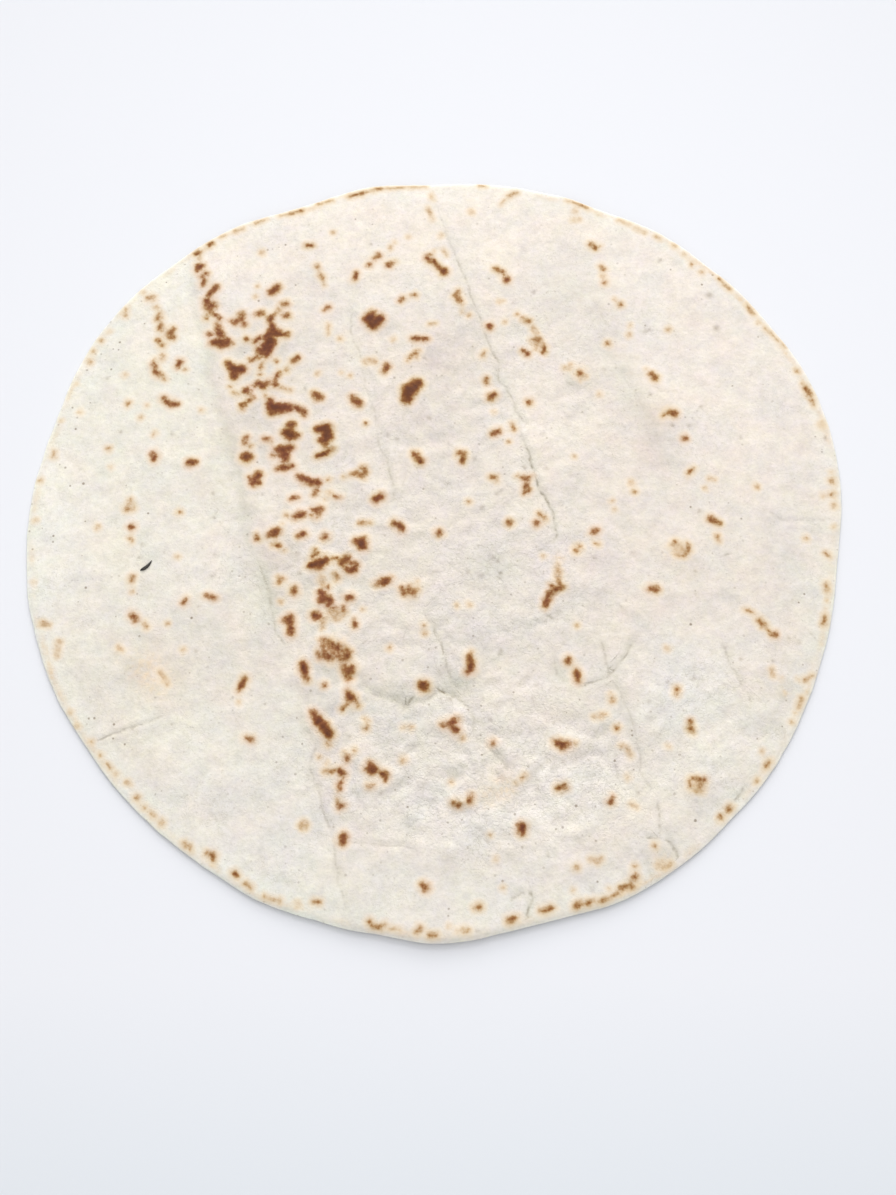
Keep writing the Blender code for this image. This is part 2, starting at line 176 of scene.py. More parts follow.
        (-44.3, -8.5, 0.6, -43.8, -9.8, 1.1, -44.8, -11, 0.8), (-34, -12.3, 1.2, -32.5, -11.8, 1.5),
        (-32.3, -15.8, 1.4, -30.3, -16.2, 1.6, -29.1, -14.3, 1.3, -31.3, -13.4, 1.3),
        (-31, -66.5, 0.5, -33, -68.5, 0.6), (-12.3, -23.2, 0.9, -11.8, -24.3, 0.9),
        (-9.9, -23, 0.8, -9.5, -24.6, 1), (-11.3, -25.3, 0.7), (-7.9, -24.1, 0.9, -8.3, -25.4, 0.8),
        (-39.5, -59.6, 0.9), (-36.6, -17.8, 0.8, -35.8, -19.3, 0.9), (-28, -66, 0.5, -27.2, -67.3, 0.6),
        (-67.7, -57.5, 1.1, -68.5, -59.5, 1.2, -69.6, -61.6, 0.7), (-66, -79, 0.7, -64.6, -79.5, 1.1),
        (-111.9, 0.7, 1.3), (-110.2, -19, 0.7, -110.4, -20.3, 0.8), (-109.3, -33.6, 1.2, -107.9, -35, 1.2),
        (-91, -28.8, 0.8, -90.3, -27.5, 0.7), (-83, -26, 0.7, -81.5, -26.5, 0.8, -79.9, -26.9, 0.7),
        (-40.5, -43, 0.9, -39.3, -42.6, 0.7), (-38, -43.9, 1.1, -36.6, -45, 1.2),
        (-35, -45, 1, -35, -47, 1.1), (-40.3, -45, 0.6, -39.6, -47, 1.2), (-40.9, -49.3, 0.9),
        (-41.8, -47.6, 0.7), (-38.2, -46.1, 0.8), (-36.9, -47.6, 0.8), (-34.6, -48.8, 0.9),
        (-33.4, -45, 0.6), (-37.2, -50.3, 1, -36.6, -49.5, 1.1),
        (-32.6, -46.9, 1.4, -31, -47.6, 1.3, -31.5, -49, 1.2),
        # in the puffed zone
        (-30.8, -85.7, 1, -30.8, -87, 0.5), (-18.8, -91.3, 1.2, -17.3, -91.8, 1.3, -17.3, -93.6, 0.6),
        (-23, -96, 0.5, -21.3, -95.3, 0.4), (-32.6, -103, 1.1, -31.3, -102.5, 0.5),
        (-4.3, -130, 0.9, -3.2, -131, 1.4), (19.8, -80.5, 0.9), (42.3, -96.5, 1.1, 44.3, -96, 1.2),
        (6.2, -101.8, 0.9, 8, -102.3, 1.2), (89.2, -73, 0.7, 89.2, -75.3, 1.3, 90, -77, 0.5),
        (14.8, -137.6, 1), (116.2, -35.7, 1.1, 117.2, -37, 1.2), (91.8, -94.2, 0.9, 92.6, -93.9, 0.9),
        # along the edge
        (-90, 121.3, 1.3, -88.8, 122.2, 1), (-93.8, 118, 1.4, -94.8, 117.3, 1),
        (-57.5, 136, 0.7, -54, 137.2, 0.9), (-35, 144, 0.9, -30, 145.2, 1),
        (-24.5, 147.2, 0.8, -23, 147.5, 0.7), (-77.8, -119.7, 0.9, -75.8, -120.4, 1.4, -75.5, -121.9, 0.8),
        (-68.3, -126.3, 1, -67, -127.5, 0.8), (-64.2, -129.8, 0.7, -62.2, -131.3, 0.7),
        (-85.8, -116.2, 0.8, -84.3, -117.3, 1, -83.3, -118.5, 0.6),
        (-22, -142.3, 0.9, -20.8, -143.8, 1, -18.8, -144.3, 1, -17.2, -143.6, 0.7),
        (-6.5, -145.8, 0.7, -5.2, -144.8, 1.1), (-1.8, -146.8, 0.9, 0.3, -146.8, 0.9),
        (35.7, -138.8, 0.9, 37.3, -138.5, 1, 39, -137.9, 1.1), (47.5, -137.3, 1.4, 48.9, -136.5, 1.2),
        (51.5, -136.3, 1.3, 53.2, -135.7, 0.8), (66.3, -131.2, 1.1),
        (55.8, -135.8, 0.9, 57.3, -135.2, 0.9, 59.5, -134.2, 0.6, 61.5, -133, 0.7),
        (63, -131.4, 1.1, 66, -130.5, 1.2), (9.5, -145.4, 0.9, 11, -145.4, 0.8),
        (100.6, -104.8, 1, 101.6, -103.8, 1.1), (98, -107.3, 1), (114.8, -89.8, 0.7, 115.8, -88, 1),
        (139.9, -34.2, 1, 139.5, -37, 1.2), (-71.4, 37.3, 0.9, -71.8, 34.8, 1),
        (-65.8, -2.5, 0.6, -65.4, -4, 0.9), (-56, -19.8, 1, -57, -21, 0.7),
        (-51.5, 120.8, 0.9, -49.4, 121, 0.9), (-24.6, 115, 0.8, -23, 116.2, 1.2), (-26.6, 112, 1),
        (-18.6, 112.2, 1.5), (-34.1, -13.7, 1.2), (-45.3, 107.1, 0.9), (-47.4, 111.5, 0.5),
    ),
    Shade.TAN: (
        (-65, 55, 0.6), (-27.3, 24.5, 1.3, -26.5, 22.5, 1.2, -27, 20.8, 1, -29, 22.3, 1.5, -32, 21.8, 0.8),
        (-69.8, 33.5, 0.8), (-40.2, 19.9, 0.8), (-46, 5.4, 0.6), (-55.3, 5.4, 0.8),
        (-28, 2.3, 1, -25.8, 2.6, 0.7, -24.3, 2.6, 0.5), (-61.3, 69.5, 0.9),
        (-66.6, 69.5, 0.5, -67.3, 66.6, 0.9), (-67.4, 63.8, 0.8), (-57.3, 65.6, 0.9),
        (-59, 58, 0.5, -57, 57.4, 0.5, -55.6, 56.8, 0.7),
        (-11.3, 69.8, 0.6, -9.8, 71.5, 0.7, -8, 73.2, 0.8, -6.5, 74, 0.6), (-7.8, 71.2, 0.6),
        (-26.7, 43, 0.8), (-18.4, 119.9, 0.7), (-8.6, 98.4, 1, -10, 98.2, 0.6),
        (-45.5, 107.5, 0.7, -44.7, 106.5, 0.7), (-61.5, 92, 0.8, -63, 90, 0.8), (-37.3, 79.2, 0.7),
        (-2.5, 116.5, 0.9), (-89.3, 89, 1, -89.3, 87.8, 0.8), (-110.5, 98, 0.8), (-110.2, 96.6, 0.7),
        (-109, 93.1, 0.8), (-107.5, 90.2, 0.9, -108, 87.8, 1.3), (-106.8, 88.5, 0.6),
        (-106.7, 85.5, 1, -106.7, 83.8, 1.4), (-102, 83.5, 1.3, -103, 81, 2, -101.7, 79.6, 1.3),
        (-107.2, 78.5, 1.2), (-105.5, 76.3, 1.1), (-105.8, 75.8, 0.8, -104.7, 76.3, 0.7),
        (-104.7, 63.3, 0.7, -103.5, 61.5, 0.6), (-116.8, 51.8, 0.9, -117, 50.7, 0.7), (-122.8, 32.5, 0.9),
        (-113.1, 11.8, 0.6, -113.7, 10.9, 0.6), (-114.2, 8, 1.2), (-94.7, 6.7, 0.9), (-78.6, 58.5, 0.6),
        # right of the middle
        (8.3, 100.3, 0.8, 7.5, 98, 1.6, 8.8, 96, 1.3, 9.8, 94.6, 0.8), (26, 107.5, 0.7), (31.1, 90, 0.7),
        (36.5, 78.8, 0.8, 38.5, 78.5, 1.2), (60.5, 121.3, 1.2, 62.3, 120, 1.3),
        (64.3, 111.5, 0.9, 65.3, 110, 1), (71.2, 94.1, 1.1), (74, 81, 0.7), (65.7, 77, 1.1),
        (18.3, 73.3, 0.5, 17.6, 71.8, 0.8), (28.2, 43, 0.6, 29, 40.5, 1), (20.5, 20.7, 1, 22, 20.8, 0.8),
        (12.1, 10.9, 0.7), (37.8, 6, 0.7, 39.2, 5, 0.7, 40, 3.8, 0.7), (73.5, 15, 0.8),
        (85, 45.7, 0.5, 86.3, 46.7, 0.5), (95.5, 24.2, 0.8, 93.8, 22.2, 0.7), (89.5, 83.3, 0.8),
        # before the middle
        (-46.7, -15, 0.7), (-37.8, -11.5, 0.6, -36.2, -11.6, 0.7), (-57.5, -18.8, 0.4), (-39.8, -35.2, 0.6),
        (-16.6, -45.9, 0.7), (-11, -24.5, 1.3, -8.5, -24.3, 1.4, -7, -24, 0.9), (-31.6, -46.8, 0.9),
        (-24.3, -75.3, 0.9), (-4.3, -37.3, 0.5), (-112.3, -3.5, 0.6, -111.5, -5, 0.5),
        (-104.5, -36.8, 0.6, -103.7, -38, 0.8), (59.2, -6, 0.8, 58, -5.7, 0.4), (52.3, -7, 0.9),
        (51, -8.5, 1.2), (44.3, -16.8, 1, 44, -20, 0.8, 44.4, -22, 0.8), (12.8, -47.5, 0.6), (62, -65.3, 1),
        (63.3, -75.2, 1.1), (103, -2.8, 0.9, 103.3, -4.6, 0.6),
        # the ring on the blister at the right
        (92, -6, 0.7, 92, -8.5, 1.1, 90.5, -10.5, 0.8, 88.5, -10.7, 0.6, 87.3, -9.8, 0.4),
        (86, -6.5, 0.5, 87.5, -5, 0.6),
        # in the puffed zone
        (-37.5, -81, 0.9), (-28.3, -83.2, 0.7), (-38.3, -90.8, 0.6, -36, -90.9, 0.9, -34.5, -90.3, 0.5),
        (-33.5, -101, 0.6), (-11.2, -86.7, 0.9), (9.2, -78.8, 0.7), (48.5, -80.6, 0.5),
        (30.8, -92, 0.6, 29.3, -93.5, 0.4), (48, -124.2, 0.8), (74.8, -116.8, 0.8), (67.8, -124, 0.7),
        (13.2, -138, 0.6), (87.8, -94.5, 0.7, 88, -96, 0.8), (89.8, -97.4, 0.8, 91.4, -97, 0.9),
        (88.9, -93.3, 0.7, 90.6, -93.6, 0.8), (118.3, -38.5, 0.6, 119.8, -40.8, 0.6),
        (111, -31.5, 0.3, 112.8, -32, 0.6, 114.5, -32.8, 0.3), (85.3, -61.3, 1.3, 84.9, -63, 0.8),
        # along the edge
        (-121, 92.5, 0.8, -120.7, 89.8, 1), (-129.4, 78.6, 0.8), (-85.8, 125, 0.6, -84, 125.8, 0.5),
        (-80, 127.5, 1, -77, 128.8, 0.7), (-72.3, 131.4, 0.8, -68, 133.2, 0.6),
        (-62.5, 134.8, 0.6, -57.5, 136, 0.7), (-48, 140, 0.7, -42, 142.2, 0.7),
        (-30, 145.5, 0.7, -24, 147.2, 0.7, -17, 148, 0.6, -9, 148.4, 0.5, -4.5, 148.4, 0.5),
        (-2.5, 144.5, 0.5, -2, 142.5, 0.5), (-133, 69.4, 1.2), (-132, 74, 0.8),
        (-143.5, 31.2, 0.8, -143.4, 29.2, 0.8), (-147.5, 19.5, 0.8), (-147.7, 3.5, 0.7),
        (-141.3, -36.8, 1.3, -139.3, -37.4, 0.8), (-120.3, -80.2, 0.6), (-117, -85.3, 0.6),
        (-114.3, -88.6, 0.8, -113.2, -90, 0.8), (-111, -92, 0.8), (-107, -95, 0.8, -105.8, -95.8, 0.5),
        (-103.2, -100.3, 1.2), (-100.2, -103.8, 0.7), (-98, -105.6, 0.7, -96.8, -106.5, 0.7),
        (-94, -109, 1.1), (-57.5, -134.2, 0.7, -55, -135, 0.6, -52.7, -135.6, 1),
        (-40.8, -135.8, 0.9, -39.3, -136, 1), (-15, -144.6, 0.5, -12, -145, 0.4),
        (51.8, 142, 0.6, 55, 140.8, 0.8, 58, 139.4, 0.9, 60.2, 138.3, 0.8),
        (28.3, 143.7, 0.8, 30.3, 145, 1.1, 32, 145.5, 0.8), (17, 148.9, 0.7, 19, 148.8, 0.8),
        (86.5, 125.3, 0.8, 88, 124.3, 0.8), (93.8, 121, 0.9), (97.4, 117.1, 0.8),
        (99.7, 113.5, 0.7, 100, 112, 0.7), (103.7, 109, 0.9),
        (110.5, 106, 0.8, 112.5, 103.3, 0.9, 114.2, 101.2, 0.8),
        (120.8, 94.5, 0.8, 121.8, 92, 1.2, 122.8, 90.5, 0.9), (127, 84, 0.5, 130, 80.5, 0.5, 134, 76, 0.5),
        (137.8, 65.5, 1.2), (139.5, 60, 0.7), (142.5, 53, 1.2, 142.9, 51, 0.9), (146.8, 14, 1.2),
        (147, 9.5, 1.1), (142.2, -9.5, 0.8, 143.5, -10.8, 0.9), (141.5, -22, 1.3, 141.4, -24, 1.1),
        (135.5, -3.8, 0.7), (131, -58.2, 1, 134, -56, 0.5), (129.2, -64.6, 0.9, 127.7, -68.2, 0.8),
        (125.2, -73.3, 0.7), (111.3, -94.5, 0.9), (116.5, -87.5, 0.5), (78.3, -124.3, 0.6, 80, -123.3, 0.8),
        (7.5, -145.5, 0.5),
    ),
    Shade.PALE: (
        (-34.5, 21, 0.6), (-39.3, 14.5, 0.7), (-41.2, 11.7, 0.6), (-56.5, 2, 0.6), (-45.5, 64, 0.9),
        (-33, 63, 0.7), (-36.3, 64.7, 0.5), (-27, 69.3, 1.3, -24, 69.8, 1), (-23.2, 68.7, 0.6),
        (-16.3, 113.5, 0.8), (-16.7, 122.4, 0.5), (-11.4, 125, 0.7), (-47, 112, 0.9, -44, 103, 0.5),
        (-41.2, 127, 1), (-69, 117.8, 1.2), (-70, 102.5, 0.7), (-70.5, 98, 0.7), (-16.7, 79, 0.9),
        (-2.5, 85.6, 0.9, -0.5, 85.9, 0.6), (-41.8, 85.5, 0.7, -42, 81.5, 0.6), (-1.2, 118.3, 0.6),
        (-3.7, 138, 0.8, -2, 133, 0.6), (-91.5, 119.5, 0.8), (-93.5, 115, 1), (-126.5, 82.5, 0.8),
        (-114.7, 100, 0.9), (-105, 72, 1), (-107.5, 70, 1), (-105, 70, 1), (-96, 65.7, 0.8),
        (-109.8, 50.7, 0.6), (-111.8, 45.6, 0.9), (-105.6, 39, 0.6, -106.3, 38, 0.5), (-112.5, 8.5, 1.6),
        (-137.5, 60, 0.6), (-135, 47.8, 0.9), (-141.8, 44.3, 0.7), (-119, 63.7, 0.8), (-88.8, 48.5, 0.7),
        (-121.5, 25, 0.5), (2.3, 119.2, 0.6, 3.8, 116.3, 0.6), (1.5, 125.5, 0.8), (9.8, 91, 0.5),
        (12.6, 89.5, 1), (24.2, 95.7, 0.8, 25.7, 96, 0.5),
        (37, 84, 1, 38.5, 81, 1.3, 39.5, 79, 1.2, 40.5, 77, 1.2), (26.3, 86.5, 0.8), (64.5, 120.7, 0.6),
        (65, 107, 1.2), (69, 96.5, 0.6), (74.8, 85, 0.6), (54, 132.8, 0.9, 56.5, 133, 0.9), (55, 137, 1.2),
        (72, 132.5, 0.8, 76, 130.8, 0.9), (27, 142, 0.6, 25.4, 140, 0.6), (13.6, 136.5, 1.2),
        (38, 77, 1.5, 39, 75, 1.5), (48.8, 66.5, 0.8, 50.5, 66.3, 0.9, 51.3, 68, 0.6), (56.5, 63, 1),
        (54.6, 61.6, 0.6), (61.8, 55.3, 0.8), (21.7, 48, 0.7), (27, 35.3, 0.8), (7.5, 29.5, 0.8),
        (22.5, 19, 0.8), (30, 21.2, 0.7), (51.5, 29.2, 0.7), (72.5, 18.5, 1.2), (65, 11.2, 0.6),
        (65.7, 7.8, 0.5), (80.1, 65.9, 0.5), (101.8, 20.3, 0.8, 103.3, 19.6, 0.6), (99.5, 16.3, 0.7),
        (118.8, 17, 1.2), (145.5, 42.5, 1.8), (147.3, 23, 0.8), (143.5, 13.3, 1), (146.5, 1, 0.8),
        (78.5, 129, 1, 82, 127, 1), (124.5, 86.5, 0.9), (-55.5, -8.5, 0.5),
        (-41.5, -19.5, 1.2, -41, -22, 1.2), (-56, -28.3, 0.9),
        (-38.5, -32.5, 1.3, -35.5, -34, 2, -33.5, -33, 1.2), (-41, -36, 0.8, -40.7, -38.5, 0.7),
        (-26.5, -31.5, 0.6), (-6.8, -20.5, 0.5), (-69.3, -66.2, 0.6), (-25, -71.8, 0.6, -23.7, -72.7, 0.6),
        (-11.3, -74.8, 0.6), (-8.5, -75, 0.8), (-4, -40.3, 0.9), (-31.8, -84, 0.5), (-40.3, -85.8, 0.7),
        (-37.7, -88, 0.7), (-45.2, -109.7, 1.8), (-44.4, -110.6, 0.7), (-110, -24.5, 0.7),
        (-96.5, -36.8, 0.8), (-90.3, -46.8, 0.8), (-113.3, -45.8, 0.8, -112, -46.6, 0.6),
        (-97.8, -55, 0.9, -96.5, -57, 0.8, -95, -59.3, 0.8), (-124.5, 0.7, 1), (-94.3, -11, 0.8),
        (-146.3, -21, 0.8), (-135, -44, 1.2, -135.3, -49, 1), (-128.8, -69.7, 1), (-126, -75, 1),
        (-46.5, -136.7, 1.3), (44.2, -14, 0.6, 44.2, -18, 1.4), (7.5, -29.8, 0.7), (12, -29.6, 0.9),
        (50.5, -37.5, 0.8), (61.5, -63, 0.5), (59.5, -70, 0.8, 57.5, -70.8, 1.1, 55.5, -71.3, 0.8),
        (39, -10.8, 0.7), (88.5, -8, 2.2), (52.8, -121.5, 0.9, 55.3, -122, 1, 56.5, -121, 0.6),
        (119.2, -54, 0.9, 119.5, -56.5, 0.7), (90.3, -95.2, 2.2), (82.5, -46.2, 0.9), (91, -96.5, 2.2),
        (64.5, -81.5, 0.7, 66, -82, 0.8, 67, -83.5, 0.7, 67.8, -85.5, 0.6), (27.8, -94.8, 0.5),
        (5.5, -94.5, 0.6), (66.3, -93, 0.7), (67.5, -102.5, 0.8, 69, -103.5, 0.5), (18.7, -113, 0.6),
        (20.5, -121.2, 0.5), (22.8, -131.2, 0.6), (46.5, -132, 0.6), (58.5, -131.5, 0.5), (4.5, -144, 0.6),
        (114, -84, 0.8), (81, -82, 0.6), (141.2, -28, 0.6), (128.3, -57.5, 0.5), (126.5, -70, 0.5),
        (76.5, -123.5, 1.8), (-39.9, 14.1, 1),
    ),
}

# Grey pin pricks of the upper face: x, y and radius
GREY_SPECKS: tuple[Triple, ...] = (
    (-49.8, 57.4, 0.7), (-66.5, 33.3, 0.4), (-71.4, 63.7, 0.5), (-2.9, 45, 0.5), (-18.3, 38.3, 0.6),
    (-14.7, 36.5, 0.6), (-4.7, 70.6, 0.6), (-26.1, 121.3, 0.5), (-110.2, 66.2, 0.5), (-119, 39.5, 0.8),
    (-99.2, 38.6, 0.6), (-81.9, 4.4, 0.6), (-82.7, 14.2, 0.6), (-125.8, 62.5, 0.6), (37.8, 99.9, 0.8),
    (29.6, 95, 0.4), (63.8, 65.6, 0.5), (39.8, 38.2, 0.5), (14, 28, 0.6), (32.8, 24.6, 0.7),
    (40.9, 24.2, 0.6), (4.6, 34.7, 0.4), (24, 15.2, 0.4), (22.5, 13.8, 0.5), (16.8, 8.5, 0.8),
    (88.8, 41.9, 0.7), (95.3, 42.1, 0.6), (100.3, 50.1, 0.6), (81, 54.8, 0.5), (97.2, 7.3, 0.7),
    (114, 37, 0.5), (147, 40.7, 0.6), (146.5, 37.5, 0.8), (80.5, 82.3, 0.7), (82, 83, 0.5), (87.5, 114, 0.8),
    (108, 84, 1.2), (106, 98.5, 1.5), (-38.3, -4.7, 0.4), (-47.2, -12.8, 0.7), (-50.3, -10, 0.6),
    (-49.5, -17.5, 0.5), (-34.4, -25.2, 0.5), (-34.3, -27, 0.6), (-25.5, -44.3, 0.5), (-36.2, -82.4, 0.7),
    (-30.2, -79.3, 0.5), (-27.7, -85.2, 0.5), (-20.5, -97.3, 0.4), (-18.8, -99.2, 0.6), (-2.8, -90.2, 0.4),
    (-85.4, -46.9, 0.5), (-85.3, -30.2, 0.4), (-107.7, -6.3, 0.5), (-108, -11.2, 0.6), (-80.7, -10.2, 0.4),
    (-81, -18.5, 0.6), (-114, -47.8, 0.6), (-148, -10.2, 0.5), (-147.7, -14, 0.5), (-143.5, -34.8, 0.8),
    (-133.7, -61.3, 0.6), (57.7, -11.3, 0.5), (47.8, -8.7, 0.4), (72, -9.5, 0.4), (74.9, -65.9, 0.5),
    (23, -47, 0.5), (22.8, -48.5, 0.4), (35.7, -60.5, 0.4), (34, -65.2, 0.4), (16.7, -65.3, 0.4),
    (19.3, -73, 0.5), (5, -65.5, 0.6), (44.2, -87.8, 0.5), (62.3, -89.3, 0.4), (62.8, -86, 0.3),
    (45, -85.3, 0.4), (69.7, -98.9, 0.6), (17.8, -115.5, 0.5), (38.3, -120.2, 0.5), (53, -132, 0.6),
    (14, -145.5, 0.5), (102.8, -45.7, 0.5), (91.3, -57.3, 0.5), (82, -58.5, 0.4), (94.2, -16.7, 0.5),
    (108.5, -50.3, 0.5), (102, -59.7, 0.4), (126, -42, 0.4), (129.8, -43.8, 0.5), (120, -51, 0.6),
    (80.6, -80.8, 0.4), (23.3, -17.5, 0.7), (23.2, -19.3, 0.5), (22.5, -13, 0.6), (16.5, -18.3, 0.7),
    (11.5, -17, 0.6), (20.5, -11.5, 0.6),
)


def smooth_step(t: Array) -> Array:
    """0 below 0, 1 above 1, and 3t^2 - 2t^3 between."""
    t = np.clip(t, 0.0, 1.0)
    return t * t * (3.0 - 2.0 * t)


def bell(distance: Array, half_width: float) -> Array:
    """A bell, e^(-(distance / half width)^2): 1 in the middle and about a third at the half width."""
    return np.exp(-((distance / half_width) ** 2))


def round_gap(x: Array, y: Array, middle_x: float, middle_y: float, radius: float) -> Array:
    """Squared distance from a middle, counted in radii."""
    return ((x - middle_x) ** 2 + (y - middle_y) ** 2) / radius**2


def oval_gap(x: Array, y: Array, oval: Iterable[float]) -> Array:
    """Squared distance from an oval's middle, counted in its half sides, so that its border is at 1.

    Args:
        x, y: Places along X and Y.
        oval: Middle x and y, half length, half width, and turn in degrees.

    Returns:
        One value for each place.
    """
    middle_x, middle_y, half_length, half_width, turn = oval
    c, s = math.cos(math.radians(turn)), math.sin(math.radians(turn))
    u = ((x - middle_x) * c + (y - middle_y) * s) / half_length
    v = ((y - middle_y) * c - (x - middle_x) * s) / half_width
    return u * u + v * v


def soft_noise(x: Array, y: Array, size: float, seed: int, turn_deg: float = 0.0) -> Array:
    """Smooth random unevenness from about -1 to 1.

    A seeded random number stands at each corner of a square lattice, and the s-curve 3t^2 - 2t^3
    blends the four numbers across each square. The lattice repeats after 128 squares.

    Args:
        x, y: Places along X and Y.
        size: Side of a lattice square.
        seed: Seed of the random numbers.
        turn_deg: Turn of the lattice in degrees.

    Returns:
        One value for each place.
    """
    count = 128
    table = np.random.default_rng(seed).uniform(-1.0, 1.0, (count, count))
    c, s = math.cos(math.radians(turn_deg)), math.sin(math.radians(turn_deg))
    u, v = (x * c + y * s) / size, (y * c - x * s) / size
    i, j = np.floor(u).astype(int), np.floor(v).astype(int)
    p, q = smooth_step(u - i), smooth_step(v - j)
    i, next_i, j, next_j = i % count, (i + 1) % count, j % count, (j + 1) % count
    near = table[i, j] * (1 - p) + table[next_i, j] * p
    far = table[i, next_j] * (1 - p) + table[next_i, next_j] * p
    return near * (1 - q) + far * q


def layered_noise(x: Array, y: Array, grains: Iterable[Grain]) -> Array:
    """The sum of soft noises, each times its height."""
    return sum(rise * soft_noise(x, y, size, seed, turn) for size, rise, seed, turn in grains)


def wandered(x: Array, y: Array, shifts: Wander) -> tuple[Array, Array]:
    """The places, moved along X by one set of soft noises and along Y by another."""
    return x + layered_noise(x, y, shifts[0]), y + layered_noise(x, y, shifts[1])


def distance_to_line(x: Array, y: Array, points: Line) -> tuple[Array, Array, Array]:
    """Distance to a line of straight runs.

    Args:
        x, y: Places along X and Y.
        points: The line's corners in order.

    Returns:
        The distance, the signed distance (positive on the line's left), and how far inside the
        line's two ends the nearest place on it lies.
    """
    corners = np.asarray(points, float)
    starts, steps = corners[:-1], np.diff(corners, axis=0)
    lengths = np.hypot(*steps.T)
    before = np.concatenate([[0.0], np.cumsum(lengths)])[:-1]
    from_start = np.stack([x, y], -1)[..., None, :] - starts
    along = np.clip((from_start * steps).sum(-1) / lengths**2, 0.0, 1.0)
    gap = from_start - along[..., None] * steps
    gaps = np.hypot(gap[..., 0], gap[..., 1])
    side = np.sign(steps[:, 0] * from_start[..., 1] - steps[:, 1] * from_start[..., 0])
    nearest = gaps.argmin(-1)[..., None]
    distance = np.take_along_axis(gaps, nearest, -1)[..., 0]
    travelled = np.take_along_axis(before + along * lengths, nearest, -1)[..., 0]
    signed = distance * np.take_along_axis(side, nearest, -1)[..., 0]
    return distance, signed, np.minimum(travelled, lengths.sum() - travelled)


def near_line(x: Array, y: Array, points: Line, reach: float) -> Array:
    """Numbers of the places within a reach of the box round a line, so that the rest can be left out.

    Args:
        x, y: Places along X and Y.
        points: The line's corners.
        reach: How far the box is widened on each side.

    Returns:
        The numbers in rising order.
    """
    corners = np.asarray(points, float)
    low, high = corners.min(0) - reach, corners.max(0) + reach
    return np.flatnonzero((x > low[0]) & (x < high[0]) & (y > low[1]) & (y < high[1]))


def stroke_depth(x: Array, y: Array, stroke: Stroke) -> Array:
    """How deep each place lies inside a stroke, in millimetres, negative outside.

    Between two knots the outline is a tapered capsule: the depth is the radius at the nearest place
    of the straight run between them, less the distance to that place.

    Args:
        x, y: Places along X and Y.
        stroke: The stroke's knots.

    Returns:
        One depth for each place.
    """
    knots = np.asarray(stroke, float).reshape(-1, 3)
    if len(knots) == 1:
        return knots[0, 2] - np.hypot(x - knots[0, 0], y - knots[0, 1])
    depth = np.full_like(x, -np.inf)
    for (ax, ay, ar), (bx, by, br) in zip(knots[:-1], knots[1:]):
        along = ((x - ax) * (bx - ax) + (y - ay) * (by - ay)) / ((bx - ax) ** 2 + (by - ay) ** 2)
        t = np.clip(along, 0.0, 1.0)
        gap = np.hypot(x - ax - t * (bx - ax), y - ay - t * (by - ay))
        depth = np.maximum(depth, ar + t * (br - ar) - gap)
    return depth


@dataclass(frozen=True)
class RoundOutline:
    """The uneven outline of the round, hand rolled, the same as the CAD part's."""

    mean_radius: float = 150.3
    # crests round the edge, how far each stands out, direction of one crest in degrees
    swells: tuple[tuple[int, float, float], ...] = (
        (1, 3.1, 84.0), (2, 0.6, 38.0), (3, 2.1, 37.0), (4, 1.1, 38.0), (6, 0.7, 16.0),
    )
    # direction in degrees, how far the edge stands out there, half the width in degrees
    flats: tuple[Triple, ...] = (
        (14.0, 0.6, 14.0), (34.0, -0.9, 6.0), (47.0, -0.7, 6.0), (64.0, -1.4, 5.0), (74.0, -0.6, 4.0),
        (91.0, -0.3, 5.0), (100.0, 1.4, 5.0), (112.0, -1.4, 6.0), (132.0, -0.9, 5.0), (150.0, 0.5, 20.0),
        (163.0, -0.8, 6.0), (182.0, 0.7, 12.0), (214.0, -0.6, 7.0), (246.0, 0.7, 5.0), (258.0, -0.6, 20.0),
        (270.0, 1.9, 6.0), (286.0, -1.1, 6.0), (295.0, 0.8, 8.0), (313.0, -0.8, 6.0), (339.0, 0.6, 12.0),
        (356.0, -0.8, 6.0),
    )

    @staticmethod
    def towards(angle: Array, direction_deg: float, half_width_deg: float) -> Array:
        """A bell round one direction, over the turn from it to each angle, from -180 to 180 degrees."""
        return bell((np.degrees(angle) - direction_deg + 180.0) % 360.0 - 180.0, half_width_deg)

    def radius(self, angle: Array) -> Array:
        """Distance from the middle to the outermost edge: a mean radius, cosine swells and bells.

        Args:
            angle: Directions from the middle, in radians.

        Returns:
            One radius for each direction.
        """
        radius = np.full_like(angle, self.mean_radius)
        for crests, height, direction in self.swells:
            radius += height * np.cos(crests * (angle - math.radians(direction)))
        for direction, height, half_width in self.flats:
            radius += height * self.towards(angle, direction, half_width)
        return radius

    def inwards(self, x: Array, y: Array) -> Array:
        """How far each place lies inside the edge, measured along its radius."""
        return self.radius(np.arctan2(y, x)) - np.hypot(x, y)


